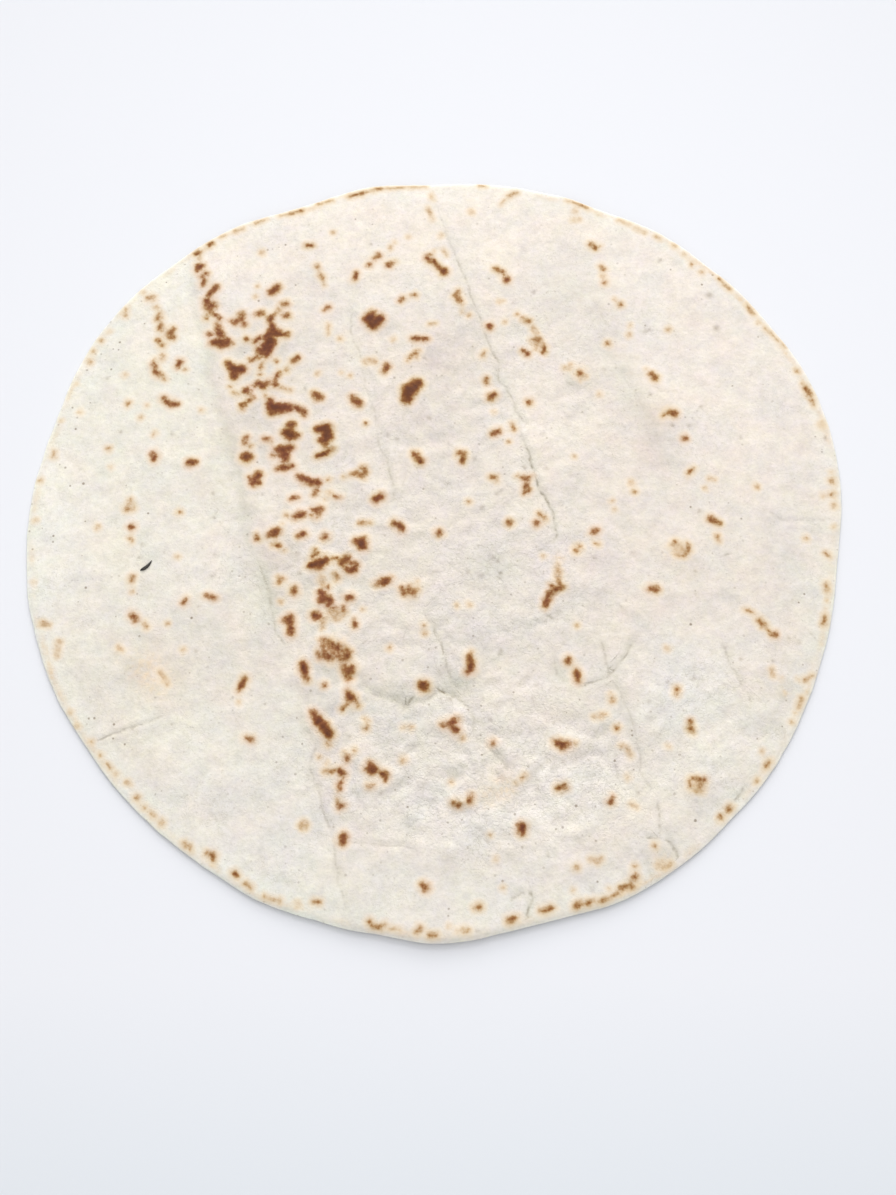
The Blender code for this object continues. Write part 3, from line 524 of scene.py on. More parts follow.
@dataclass(frozen=True)
class DoughRelief:
    """Heights of the dough's two faces: the CAD part's forms, and the finer ones of the real skin."""

    outline: RoundOutline
    thickness: float = 2.5
    # the relief dies away towards the rounded edge, over this reach of the edge and this fade
    edge_reach: float = 2.6
    edge_fade: float = 9.0
    # where the edge curls off the surface: direction and half width in degrees, height, reach inwards
    lifted_edges: tuple[tuple[float, float, float, float], ...] = (
        (224.0, 26.0, 0.4, 34.0), (272.0, 24.0, 0.5, 38.0), (318.0, 24.0, 0.3, 34.0),
        (2.0, 16.0, 0.2, 30.0), (62.0, 20.0, 0.8, 30.0), (118.0, 16.0, 0.6, 26.0),
    )
    # a lift under this one counts as lying on the surface
    least_lift: float = 0.02
    # the dough thins out towards its edge: over what reach, to what share of the thickness, and where
    # that share differs, as direction and half width in degrees and the change
    thinning_reach: float = 18.0
    edge_share: float = 0.64
    edge_share_changes: tuple[Triple, ...] = (
        (271.0, 22.0, 0.34), (222.0, 18.0, -0.24), (318.0, 18.0, -0.24), (8.0, 26.0, -0.12),
        (92.0, 30.0, 0.16),
    )
    # height, wave length, direction in degrees
    swells: tuple[Triple, ...] = ((0.16, 92.0, 20.0), (0.12, 61.0, 105.0), (0.09, 37.0, 62.0))
    # the line that a fold follows, the height of its roll, its half width
    folds: dict[str, tuple] = field(
        default_factory=lambda: {
            "back_to_middle": (((-1, 148), (12, 102), (25, 60), (34, 32), (43, -2)), 0.18, 6.0),
            "left_of_middle": (((-51, 137), (-44, 105), (-33, 78), (-22, 40), (-15, 11)), 0.14, 6.0),
            "left_band": (((-97, 118), (-87, 65), (-75, 25), (-66, -12), (-52, -43)), 0.15, 8.0),
            "left_band_front": (((-43, -83), (-40, -100), (-33, -122), (-29, -142)), 0.20, 5.0),
            "right_band": (((60, 98), (68, 68), (78, 50), (90, 20)), 0.15, 8.0),
            "right_front": (((102, -45), (109, -62), (118, -66)), 0.32, 5.0),
            "front_edge": (((120, -83), (108, -95), (95, -110), (90, -118)), 0.25, 4.5),
            "fork_stem": (((59, -42), (61, -57), (66, -70), (69, -90), (74, -97)), 0.22, 5.0),
            "fork_arm": (((71, -43), (61, -57), (50, -60)), 0.20, 4.5),
            "middle_ridge": (((-4, -18), (-3, -40), (2, -56)), 0.25, 3.5),
            "left_front_crack": (((-119, -81), (-105, -75), (-95, -71)), 0.12, 4.0),
            "pale_ridge": (((5, -65), (10, -70), (13, -76), (15.5, -82)), 0.32, 2.4),
        }
    )
    fold_end_fade: float = 9.0
    # lapped folds: the line, depth of the dip on its left and its reach, height of the wall on its
    # right and its reach
    laps: tuple[tuple, ...] = (
        (((-32, -58), (-24, -62), (-18, -65), (-10, -67), (-4, -65.5), (2, -62.5), (8, -65.5), (13, -68)),
         0.8, 9.0, 0.38, 8.0),
        (((2, -60), (5.5, -62.5), (10, -62.5), (14, -59.5), (17, -54)), 0.45, 5.0, 0.15, 6.0),
        (((41.5, -49), (43.5, -55), (47, -59.5), (52, -60.5), (58, -59.5)), 0.45, 6.0, 0.15, 6.0),
        (((-45.5, -48), (-44, -54), (-39, -57.8), (-31, -59), (-24, -57)), 0.45, 4.5, 0.2, 6.0),
        (((-49, -58), (-47.5, -68), (-45, -77), (-42.5, -82)), 0.35, 4.0, 0.2, 6.0),
    )
    # how far a lap is worked out, how it wanders and how lumpy its wall is, its fade at the ends, and
    # how dark the painted shade in its dip is
    lap_reach: float = 30.0
    lap_wander: Wander = (
        ((5.0, 2.0, 53, 15.0), (2.3, 0.8, 58, 5.0)),
        ((5.0, 2.0, 54, 55.0), (2.3, 0.8, 59, 75.0)),
    )
    lap_lumps: tuple[Grain, ...] = ((6.0, 1.0, 57, 25.0),)
    lap_end_fade: float = 8.0
    lap_painted_shade: float = 0.35
    # middle x and y, half length, half width, turn in degrees, height
    puffed_zones: Rows = (
        (14.0, -88.0, 66.0, 30.0, -6.0, 0.75), (52.0, -88.0, 30.0, 24.0, 10.0, 0.35),
        (-26.0, -78.0, 22.0, 26.0, 0.0, 0.35),
    )
    # the lumps of the puffed dough: left and right, front and back, seed, pitch, height, radius, and
    # how far each is moved by chance
    lump_area: tuple[tuple[float, float], tuple[float, float]] = ((-62.0, 96.0), (-134.0, -44.0))
    lump_seed: int = 17
    lump_pitch: float = 12.5
    lump_height: float = 0.65
    lump_radius: float = 5.6
    lump_shift: float = 3.6
    # middle x and y, radius, height
    blisters: Rows = (
        (54.0, 64.0, 8.0, 0.55), (87.0, 47.0, 9.0, 0.50), (-20.0, -90.0, 10.0, 0.60),
        (88.0, -8.0, 8.0, 0.50), (90.0, -96.0, 9.0, 0.60), (-9.0, 57.0, 9.0, 0.50),
        (-24.0, 88.0, 8.0, 0.45), (-40.0, 38.0, 11.0, 0.45), (-38.0, -46.0, 10.0, 0.55),
        (45.0, -20.0, 9.0, 0.50),
    )
    # thin creases that the CAD part leaves out: the line, its depth, its half width, and its darkness, a
    # painted shade
    creases: tuple[tuple, ...] = (
        (((3, 128.5), (4.3, 124), (5.8, 119.3), (7.9, 113.6), (10.5, 108), (12.2, 103.5), (13.2, 97.5),
         (15, 92), (16.5, 87), (17.2, 82.5), (20, 75.5), (21.5, 71.5), (23.2, 68.5), (23.8, 63),
         (25, 58.5), (27, 55), (29, 52), (29.5, 48.5), (32, 45.5), (35, 42)), 0.2, 0.9, 0.5),
        (((-2.6, 149.5), (-0.9, 143.1), (0.4, 138), (1.6, 134), (3.2, 127.5), (4, 124)), 0.14, 0.9, 0.22),
        (((31.5, 38.5), (33, 34.5), (34.5, 31), (34.8, 27.5), (35.8, 23.5), (37.2, 19), (38, 15.5),
         (40, 12.5), (42, 8.5), (43.5, 5.5), (43.4, 1), (44.4, -3.5), (42.8, -5.3), (40.5, -6)),
         0.3, 0.8, 1.0), (((39.2, -7.8), (37, -9), (35.5, -9.3)), 0.15, 0.7, 0.6),
        (((-64.3, -14), (-62.7, -18), (-61, -23), (-60, -28), (-57, -40), (-54, -46)), 0.18, 0.8, 0.5),
        (((-46, -75.5), (-43.5, -78.5), (-41.5, -82.5), (-43, -85.5), (-43.2, -90), (-42, -95),
         (-40.2, -99), (-39, -103.5), (-37.5, -108), (-35.5, -112), (-34.5, -115), (-33.7, -122),
         (-32, -131), (-30, -138)), 0.18, 0.9, 0.35),
        (((60, 98), (66, 85), (62, 75), (68, 68), (74, 58), (78, 50), (82, 41)), 0.12, 1.1, 0.14),
        (((82, 41), (82.5, 35.5), (84.5, 31.5), (86.5, 28), (88, 23)), 0.12, 1.0, 0.16),
        (((102.5, -45.5), (104, -50), (106, -55), (108, -60), (110.5, -64.5), (112, -68)), 0.26, 1.0, 0.45),
        (((110, -59), (115, -64), (117, -69)), 0.16, 1.0, 0.2),
        (((103, -70), (101, -74), (101.5, -78)), 0.14, 1.0, 0.15),
        (((71, -43.3), (68.5, -46), (67.5, -49), (66, -51), (63, -55), (61.5, -57)), 0.36, 0.9, 1.0),
        (((59, -42), (60, -48), (60.6, -53), (61.5, -57), (57, -58.5), (52, -60.2), (49, -61)),
         0.28, 0.9, 0.7),
        (((62, -57), (65, -62), (67.5, -68), (69, -74), (69.5, -81.5), (71, -86), (70.5, -91),
         (72.5, -94), (75.5, -98.5)), 0.18, 0.9, 0.3),
        (((-4.5, -33), (-2, -37), (0, -42), (2, -46), (3, -50), (4, -54), (6, -58.5), (9, -61.5)),
         0.3, 0.9, 0.7), (((-30, -116), (-22, -116.3), (-14, -117), (-8, -117.5)), 0.22, 0.9, 0.35),
        (((13, -109.5), (16, -112), (18, -115.5)), 0.24, 0.9, 0.5),
        (((25, -135.5), (28.5, -133), (31, -134.3)), 0.24, 0.9, 0.6),
        (((-28, -60), (-20, -65), (-15, -66), (-10, -68), (-3, -65), (2, -61.5), (5, -64), (8, -65.5)),
         0.2, 1.1, 0.45),
        (((5, -62), (8, -65), (11, -67.5), (12.8, -70), (14, -73), (13, -77), (15, -80), (20, -84),
         (26, -92)), 0.24, 1.0, 0.55), (((42, -50), (43.5, -57), (46, -60.5)), 0.2, 1.0, 0.6),
        (((0, -61), (3.2, -63.2), (7, -65)), 0.26, 0.8, 1.8),
        (((-7.5, -64.5), (-9.5, -67.2), (-11.5, -69.5)), 0.24, 0.8, 1.3),
        (((-119.2, -80.8), (-116, -79), (-113.3, -77.8), (-110.5, -77), (-107, -75.5), (-95, -71)),
         0.22, 0.8, 0.6),
        (((31.4, -130.5), (31.8, -133.3), (32.2, -135.5), (31, -138.4), (30.6, -140.3), (31.3, -143)),
         0.34, 0.8, 1.0), (((76.5, -102), (76.6, -107), (76.2, -113)), 0.26, 0.8, 0.8),
        (((71, -114.4), (77.5, -114.5)), 0.26, 0.8, 1.0),
        (((77.5, -114.8), (80, -116), (81.6, -119.1), (83.3, -122.7), (84.2, -124.8)), 0.4, 0.8, 1.0),
        (((114, -86), (110, -91.5), (107, -96)), 0.12, 1.1, 0.15),
        (((108, -94.5), (106.3, -97.3), (104.3, -99.6), (102.3, -102)), 0.26, 0.8, 0.8),
        (((153, 4), (142, 3.6), (134, 3.6), (128, 3), (120, 8)), 0.14, 0.9, 0.2),
        (((134, -40), (138, -44)), 0.24, 0.8, 0.7), (((122, -76), (124, -80)), 0.2, 0.8, 0.6),
        (((104.5, -10.5), (108, -9.8)), 0.16, 0.7, 0.8),
        (((47, 61.5), (51, 59.2), (56, 58.5), (60, 61)), 0.12, 0.8, 0.3),
        (((80, 59), (85, 56.8), (90, 56.5)), 0.12, 0.8, 0.3),
        (((38.5, -33), (41, -35), (43.5, -37.5)), 0.14, 0.8, 0.5),
        (((-51, 137), (-47, 120), (-44, 105), (-42, 98)), -0.12, 1.0, -0.3),
        (((-33, 92), (-33, 78), (-30, 75), (-28, 62), (-25, 52), (-22, 40), (-21, 32), (-19, 28),
         (-16, 15), (-15, 11)), 0.12, 0.9, 0.35),
    )
    crease_reach: float = 3.0
    crease_end_fade: float = 4.0
    crease_wander: Wander = (
        ((4.5, 0.6, 51, 20.0), (2.4, 0.3, 55, 35.0)),
        ((4.5, 0.6, 52, 50.0), (2.4, 0.3, 56, 65.0)),
    )
    # the low shoulder on both sides of a crease: its middle and half width in half widths of the
    # crease, and its share of the depth
    shoulder: Triple = (2.2, 1.3, 0.35)
    # a slope whose left side stands higher, from the line's start to its end: the line, rise, half width
    steps: tuple[tuple, ...] = (
        (((-97, 118), (-93, 95), (-91.5, 86), (-90, 80), (-87, 65), (-84, 50), (-80, 38), (-75, 25),
         (-72, 10), (-69, 0), (-66, -10), (-61, -23), (-57, -40), (-48, -46)), 0.35, 3.5),
    )
    step_end_fade: float = 12.0
    # soft unevenness of the skin
    unevenness: tuple[Grain, ...] = (
        (26.0, 0.14, 31, 14.0), (12.0, 0.12, 32, 41.0), (6.5, 0.14, 33, 67.0), (3.4, 0.12, 34, 23.0),
    )
    # plump crumples with narrow valleys between them, how they wander, and how soft the valleys are
    crumples: tuple[Grain, ...] = ((10.0, 1.15, 35, 10.0), (6.0, 0.80, 36, 48.0), (3.6, 0.34, 37, 31.0))
    crumple_wander: Wander = (
        ((8.0, 2.2, 81, 20.0), (3.0, 0.8, 83, 65.0)),
        ((8.0, 2.2, 82, 50.0), (3.0, 0.8, 84, 35.0)),
    )
    valley_softness: float = 0.10
    # middle x and y, half length, half width, turn in degrees, and how crumpled the dough is there
    crumpled_zones: Rows = (
        (15.0, -86.0, 70.0, 34.0, -4.0, 0.95), (88.0, -74.0, 38.0, 30.0, 0.0, 0.5),
        (0.0, -20.0, 76.0, 46.0, 0.0, 0.68), (10.0, 50.0, 70.0, 62.0, 0.0, 0.48),
        (-85.0, -60.0, 40.0, 50.0, 0.0, 0.2),
    )
    # each mark sits on a low bump: its height by shade, how far it reaches, and the share of it that is
    # left where the dough isn't crumpled
    bump_heights: dict[Shade, float] = field(
        default_factory=lambda: {
            Shade.CHAR: 0.65,
            Shade.DARK: 0.60,
            Shade.BROWN: 0.45,
            Shade.TAN: 0.25,
            Shade.PALE: 0.10,
        }
    )
    bump_reach: float = 2.8
    plain_share: float = 0.65

    def lift(self, x: Array, y: Array) -> Array:
        """Height of the underside over the surface: 0, and a smooth rise at each lifted edge.

        Args:
            x, y: Places along X and Y.

        Returns:
            One height for each place.
        """
        angle, inwards = np.arctan2(y, x), self.outline.inwards(x, y)
        height = np.zeros_like(x)
        for direction, half_width, rise, reach in self.lifted_edges:
            along = self.outline.towards(angle, direction, half_width)
            height += rise * along * smooth_step(1.0 - inwards / reach) ** 1.5
        return np.where(height < self.least_lift, 0.0, height - self.least_lift)

    def local_thickness(self, x: Array, y: Array) -> Array:
        """The plain thickness of the dough: full in the middle, less towards the edge along an s-curve.

        Args:
            x, y: Places along X and Y.

        Returns:
            One thickness for each place.
        """
        angle, share = np.arctan2(y, x), np.full_like(x, self.edge_share)
        for direction, half_width, change in self.edge_share_changes:
            share += change * self.outline.towards(angle, direction, half_width)
        thinned = 1.0 - smooth_step(self.outline.inwards(x, y) / self.thinning_reach)
        return self.thickness * (1.0 - (1.0 - share) * thinned)

    def puffed(self, x: Array, y: Array) -> tuple[Array, Array]:
        """The puffed zones, each an oval with a flat top: e^(-(squared distance)^1.5).

        Args:
            x, y: Places along X and Y.

        Returns:
            How far each place lies in a puffed zone, from 0 to 1, and the height of the puff there.
        """
        share, height = np.zeros_like(x), np.zeros_like(x)
        for *oval, rise in self.puffed_zones:
            inside = np.exp(-(oval_gap(x, y, oval) ** 1.5))
            share = np.maximum(share, inside)
            height += rise * inside
        return share, height

    def lumps(self, x: Array, y: Array, share: Array) -> Array:
        """Low bell-shaped lumps on a skewed lattice, only where the dough is puffed.

        Args:
            x, y: Places along X and Y.
            share: How far each place lies in a puffed zone.

        Returns:
            One height for each place.
        """
        random = np.random.default_rng(self.lump_seed)
        height = np.zeros_like(x)
        (left, right), (front, back) = self.lump_area
        for row, middle_y in enumerate(np.arange(front, back, self.lump_pitch)):
            for middle_x in np.arange(left, right, self.lump_pitch) + 0.5 * self.lump_pitch * (row % 2):
                shift_x, shift_y = random.uniform(-self.lump_shift, self.lump_shift, 2)
                rise = self.lump_height * random.uniform(0.35, 1.0)
                radius = self.lump_radius * random.uniform(0.8, 1.25)
                height += rise * bell(np.hypot(x - middle_x - shift_x, y - middle_y - shift_y), radius)
        return height * share

    def mark_bumps(self, x: Array, y: Array) -> Array:
        """Low bumps under the marks: a bell over the distance to a mark, the highest one counting.

        Args:
            x, y: Places along X and Y.

        Returns:
            One height for each place.
        """
        height = np.zeros_like(x)
        for shade, strokes in SCORCH_MARKS.items():
            for stroke in strokes:
                knots = np.asarray(stroke, float).reshape(-1, 3)
                radius = float(knots[:, 2].max())
                reach = radius + self.bump_reach
                near = near_line(x, y, knots[:, :2], 2.4 * reach)
                gap = np.maximum(radius - stroke_depth(x[near], y[near], stroke), 0.0)
                height[near] = np.maximum(height[near], self.bump_heights[shade] * bell(gap, reach))
        return height

    def crumpled(self, x: Array, y: Array) -> tuple[Array, Array]:
        """Plump crumples: the root of a soft noise squared, which leaves valleys where it crosses 0.

        The places are first moved by soft noise, so that the valleys wander.

        Args:
            x, y: Places along X and Y.

        Returns:
            How crumpled the dough is, from 0 to 1, and the height.
        """
        strength = np.zeros_like(x)
        for *oval, most in self.crumpled_zones:
            strength = np.maximum(strength, most * np.exp(-(oval_gap(x, y, oval) ** 2)))
        moved_x, moved_y = wandered(x, y, self.crumple_wander)
        height = np.zeros_like(x)
        for size, rise, seed, turn in self.crumples:
            noise = soft_noise(moved_x, moved_y, size, seed, turn)
            height += rise * np.sqrt(noise**2 + self.valley_softness**2)
        return strength, height * strength

    def rolled_folds(self, x: Array, y: Array) -> Array:
        """The folds' rolls, each a bell across its line that fades at both ends.

        The narrow groove of a fold is one of the thin creases.

        Args:
            x, y: Places along X and Y.

        Returns:
            One height for each place.
        """
        height = np.zeros_like(x)
        for points, roll, half_width in self.folds.values():
            near = near_line(x, y, points, 4.0 * half_width)
            gap, _, inside = distance_to_line(x[near], y[near], points)
            fade = smooth_step((inside + 1.0) / self.fold_end_fade)
            height[near] += fade * roll * bell(gap, half_width)
        return height

    def lapped(self, x: Array, y: Array) -> tuple[Array, Array]:
        """Folds where the dough dips towards a line on its left and stands up sharply on its right.

        On the left the dip deepens towards the line over its reach. On the right a wall closes the dip
        within a millimetre, and dies away as e^(-distance / reach).

        Args:
            x, y: Places along X and Y.

        Returns:
            The height, and the painted shade along the dip.
        """
        height, darkness = np.zeros_like(x), np.zeros_like(x)
        moved_x, moved_y = wandered(x, y, self.lap_wander)
        lumpy = np.clip(0.7 + layered_noise(x, y, self.lap_lumps), 0.0, 1.6)
        for points, dip, dip_reach, wall, wall_reach in self.laps:
            near = near_line(x, y, points, self.lap_reach)
            gap, signed, inside = distance_to_line(moved_x[near], moved_y[near], points)
            fade = smooth_step((inside + 2.0) / self.lap_end_fade)
            into_dip = np.clip(1.0 - gap / dip_reach, 0.0, 1.0) ** 1.3
            close = np.exp(-gap)
            right = wall * lumpy[near] * (1.0 - close) * np.exp(-gap / wall_reach) - dip * close
            height[near] += fade * np.where(signed > 0.0, -dip * into_dip, right)
            darkness[near] += fade * self.lap_painted_shade * np.where(signed > -0.8, into_dip**0.7, close)
        return height, np.clip(darkness, 0.0, 1.0)

    def thin_creases(self, x: Array, y: Array) -> tuple[Array, Array, Array]:
        """The thin creases, each a narrow bell across its line, with a low shoulder on both sides.

        The line wanders by half a millimetre of soft noise, so that it doesn't look ruled.

        Args:
            x, y: Places along X and Y.

        Returns:
            The height, the signed distance to the nearest crease, and that crease's painted shade.
        """
        height, darkness = np.zeros_like(x), np.zeros_like(x)
        side = np.full_like(x, self.crease_reach)
        moved_x, moved_y = wandered(x, y, self.crease_wander)
        away, wide, share = self.shoulder
        for points, depth, half_width, dark in self.creases:
            near = near_line(x, y, points, 2.0 * self.crease_reach)
            gap, signed, inside = distance_to_line(moved_x[near], moved_y[near], points)
            fade = smooth_step((inside + 1.0) / self.crease_end_fade)
            shoulder = bell(gap - away * half_width, wide * half_width)
            height[near] += fade * depth * (share * shoulder - bell(gap, half_width))
            closer = gap < abs(side[near])
            chosen = near[closer]
            side[chosen] = signed[closer]
            darkness[chosen] = (fade * dark * smooth_step(self.crease_reach - gap))[closer]
        return height, side, darkness

    def stepped(self, x: Array, y: Array) -> Array:
        """Slopes along a line: half the rise, up on the line's left and down on its right, dying away.

        The lines run towards the front, so that their left is the bread's right.

        Args:
            x, y: Places along X and Y.

        Returns:
            One height for each place.
        """
        height = np.zeros_like(x)
        for points, rise, half_width in self.steps:
            gap, signed, inside = distance_to_line(x, y, points)
            fade = smooth_step((inside + 1.0) / self.step_end_fade) * bell(gap, 5.0 * half_width)
            height -= 0.5 * rise * fade * np.tanh(signed / half_width)
        return height

    def upper(self, x: Array, y: Array) -> tuple[Array, dict[str, Array]]:
        """Everything that stands above or below the plain thickness of the dough.

        Args:
            x, y: Places along X and Y.

        Returns:
            The height, and by name what the finish needs: the share of puffed dough, the signed
            distance to the nearest crease, that crease's painted shade, the painted shade in the laps, and
            how crumpled the dough is.
        """
        height = np.zeros_like(x)
        for rise, length, direction in self.swells:
            c, s = math.cos(math.radians(direction)), math.sin(math.radians(direction))
            height += rise * np.sin(2.0 * math.pi * (x * c + y * s) / length)
        for middle_x, middle_y, radius, rise in self.blisters:
            height += rise * np.exp(-(round_gap(x, y, middle_x, middle_y, radius) ** 1.5))
        share, puff = self.puffed(x, y)
        crease_height, side, darkness = self.thin_creases(x, y)
        height += puff + self.rolled_folds(x, y) + self.lumps(x, y, share)
        lap_height, lap_shade = self.lapped(x, y)
        height += crease_height + lap_height + self.stepped(x, y)
        height += (1.0 + share) * layered_noise(x, y, self.unevenness)
        crumpled, crumple_height = self.crumpled(x, y)
        bump_share = self.plain_share + (1.0 - self.plain_share) * crumpled
        height += crumple_height + self.mark_bumps(x, y) * bump_share
        fade = smooth_step((self.outline.inwards(x, y) - self.edge_reach) / self.edge_fade + 0.25)
        traits = {"puffed": share, "crease_side": side, "crease": darkness, "lap_shade": lap_shade}
        traits["crumpled"] = crumpled
        return height * fade, traits


@dataclass(frozen=True)
class BreadTones:
    """Where the dough is darker, paler, greyer or toasted, as soft patches and stretches of edge.

    The darker, paler and greyer patches are partly the dough's own tone and partly painted shade and
    painted light. The stripes beside the folds and the light on the edge's side are painted.
    """

    outline: RoundOutline
    # middle x and y, half length, half width, turn in degrees, and what it adds to red, green and blue:
    # partly the dough's own tone, partly painted shade over dips and folds and painted highlight on ridges
    tone_and_light_patches: Rows = (
        (0, 140, 110, 45, 0, 11, 11, 11), (20, 85, 14, 14, 0, -4, -4, -4), (90, 100, 35, 35, 0, 4, 4, 5),
        (120, 50, 40, 40, 0, 4, 4, 5), (-140, 0, 50, 14, 90, 6, 7, 8), (-90, -55, 30, 22, 0, -7, -9, -9),
        (-60, -105, 30, 20, 0, -7, -8, -6), (-68, 72, 18, 14, 70, -12, -11, -12),
        (-77, 28, 14, 9, 80, -8, -8, -9), (-60, 40, 16, 13, 0, -3, -4, -5), (0, 70, 14, 14, 0, -9, -11, -10),
        (0, 35, 18, 12, 90, -5, -5, -4), (-60, -10, 12, 12, 0, -6, -8, -9),
        (-60, -28, 10, 10, 0, -5, -5, -6), (-40, -30, 12, 12, 0, -7, -5, -7),
        (-20, -10, 11, 11, 0, -5, -4, -4), (60, -10, 11, 11, 0, -4, -5, -2), (40, -10, 9, 9, 0, -2, -3, 1),
        (80, 48, 10, 10, 0, -7, -9, -9), (80, 30, 9, 9, 0, -2, -5, -4), (120, -5, 14, 14, 0, -4, -3, -2),
        (10, -38, 45, 14, 0, -4, -3, -2), (88, -52, 18, 14, 0, 2, 5, 8), (-15, -70, 32, 10, 0, -9, -6, -4),
        # painted shade in the dip before the pale ridge, and a painted highlight along that ridge
        (10.5, -58, 6.5, 3.4, 10, -10, -7, -9), (10.5, -73, 9, 2.4, -60, 7, 7, 8),
        (60, -70, 10, 10, 0, -11, -8, -8), (90, -70, 18, 9, 0, -5, -1, 2), (10, -108, 60, 14, 0, 7, 10, 12),
        (40, -110, 10, 10, 0, 3, 4, 5), (0, -135, 70, 10, 0, -1, 3, 4), (-75, -115, 26, 12, -30, 4, 5, 6),
        (50, -92, 26, 12, 0, 4, 5, 5), (-44, -66, 16, 12, 0, -4, -5, -4), (-60, -50, 10, 10, 0, -4, -5, -3),
        (-20, 50, 10, 10, 0, 6, 4, 3), (38, 70, 9, 9, 0, 6, 5, 6), (84, 62, 12, 16, 0, 4, 4, 4),
        (-80, 50, 9, 9, 0, 4, 3, 5), (40, 40, 22, 12, 0, 3, 3, 3), (120, 30, 12, 12, 0, 3, 2, 2),
        (100, -90, 12, 10, 0, 3, 2, 2), (60, -130, 14, 8, 0, 2, 3, 3), (0, -90, 12, 10, 0, -4, -2, -1),
        (-80, -30, 10, 10, 0, -2, -3, -1), (80, -30, 10, 10, 0, 0, -2, -3),
        (28.3, -138, 3.6, 1.7, 80, 7, 4, 7), (105.3, -101.8, 1.5, 1.5, 0, 7, 7, 7),
        (-82, 105, 28, 16, 35, 7, 7, 8), (-110, 50, 30, 18, 80, 2, 4, 3), (100, -88, 26, 14, 30, 2, 6, 6),
        (35, 40, 14, 14, 0, 4, 4, 4), (-80, -10, 9, 9, 0, 6, 4, 6), (-80, -82, 32, 9, -25, 5, 7, 7),
        (-40, -60, 8, 16, 0, -5, -3, -2), (140, -30, 10, 18, 0, 3, 6, 5),
    )
    # the line along the left band, and what the dough on its left adds to red, green and blue
    band_line: tuple[tuple[float, float], ...] = (
        (-100, 130), (-97, 118), (-91, 86), (-84, 50), (-75, 25), (-69, 0), (-61, -23), (-50, -48),
        (-46, -75), (-42, -95), (-35, -112), (-31, -150),
    )
    band_tint: Colour = (3.0, 6.0, 5.0)
    band_half_width: float = 3.0
    # soft dark stripes of painted shade beside the folds: the line, how far left of it, the half width, how
    # much darker
    fold_painted_shade: tuple[tuple, ...] = (
        (((-97, 118), (-91, 86), (-87.5, 68)), 0.0, 2.2, 9.0),
        (((-90, 75), (-84, 50), (-75, 25), (-69, 2)), 1.0, 2.2, 9.5),
        (((-73, 14), (-69, 0), (-61, -23), (-53, -42)), -0.6, 3.4, 10.0),
        (((-22, 40), (-19, 28), (-15, 11)), 0.0, 1.4, 5.0),
        (((3.5, 126), (8.2, 112.5), (13.2, 97.5), (17.2, 82.5)), 0.0, 1.5, 5.0),
        (((23, 68), (23.8, 63), (29, 52), (35, 42)), -0.5, 1.8, 4.0),
        (((-43, -85), (-42, -95), (-37.5, -108), (-32, -131)), 1.5, 2.2, 3.0),
        (((-32, -58), (-24, -62), (-18, -65), (-10, -67), (-2, -64)), 1.5, 4.5, 6.0),
        (((64, -60), (66, -70), (68, -80), (72, -95)), 1.8, 1.6, 5.0),
        (((60, 98), (66, 85), (70, 68), (78, 50), (83, 36), (88, 23)), 0.0, 4.0, 5.0),
    )
    # shares of the painted shade's darkness that red, green and blue take
    fold_shade_shares: Triple = (1.0, 0.88, 1.08)
    # middle x and y, radius, strength of the grey, a painted shade of the dough's waviness
    grey: Rows = (
        (50, 97, 15, 0.45), (75, 55, 8, 0.35), (70, 68, 6, 0.35), (23, -17, 8, 0.45), (16, -14, 8, 0.35),
        (44, -57, 5, 0.3), (10, -60, 5, 0.3),
    )
    # middle x and y, radius, strength of the gold
    gold: Rows = (
        (-104, -53, 7.0, 0.4), (-98, -60, 6.0, 0.3), (24, -97, 4.5, 0.6), (17, -101, 4.0, 0.4),
        (77, -122.5, 3.6, 0.45), (44.4, -12, 2.2, 0.6), (122.5, -57.5, 1.6, 0.6),
        (123.5, -62.5, 1.7, 0.6), (-36, -47, 5.0, 0.9), (-10, -24, 3.5, 0.6), (51.5, -8, 2.6, 0.6),
        (54, 64, 4.5, 0.5), (88, -8, 4.5, 0.6), (90, -96, 4.0, 0.6), (87, 47, 4.0, 0.4),
    )
    # direction and half width in degrees, strength of the toast
    toasted_edges: tuple[Triple, ...] = (
        (128.0, 7.0, 0.7), (108.0, 12.0, 0.8), (66.0, 8.0, 0.6), (47.0, 10.0, 0.6), (33.0, 9.0, 0.8),
        (20.0, 9.0, 0.5), (0.0, 9.0, 0.5), (346.0, 8.0, 0.7), (334.0, 6.0, 0.6), (318.0, 8.0, 0.5),
        (299.0, 7.0, 0.9), (285.0, 6.0, 0.6), (268.0, 10.0, 0.5), (244.0, 8.0, 0.7), (222.0, 12.0, 0.8),
        (200.0, 8.0, 0.7), (180.0, 9.0, 0.5), (160.0, 9.0, 0.5), (145.0, 8.0, 0.4),
    )
    # how far from the edge its marks are golden and faint, how much fainter, what the dough there
    # adds to red, green and blue, and the painted light that brightens the rounded side of the edge
    edge_reach: float = 13.0
    edge_fainter: float = 0.34
    edge_tint: Triple = (3.0, 6.0, 6.0)
    side_painted_light: Triple = (18.0, 22.0, 22.0)
    # the toast away from the toasted stretches, its share everywhere, how far inside the edge its
    # band lies, and the band's half width
    toast_base: float = 0.12
    toast_share: float = 0.75
    toast_inwards: float = 2.0
    toast_half_width: float = 1.2
    # how the band of toast wanders and how patchy it is
    toast_wander: Grain = (9.0, 0.7, 62, 30.0)
    toast_patches: Grain = (5.0, 0.9, 61, 12.0)
    # how the band's border and the stripes of painted shade wander
    band_wander: Grain = (9.0, 2.0, 63, 20.0)
    # the dough's plain tone out of 255, from which the shifts are counted, and the screen's gamma
    plain_tone: float = 225.0
    gamma: float = 2.2

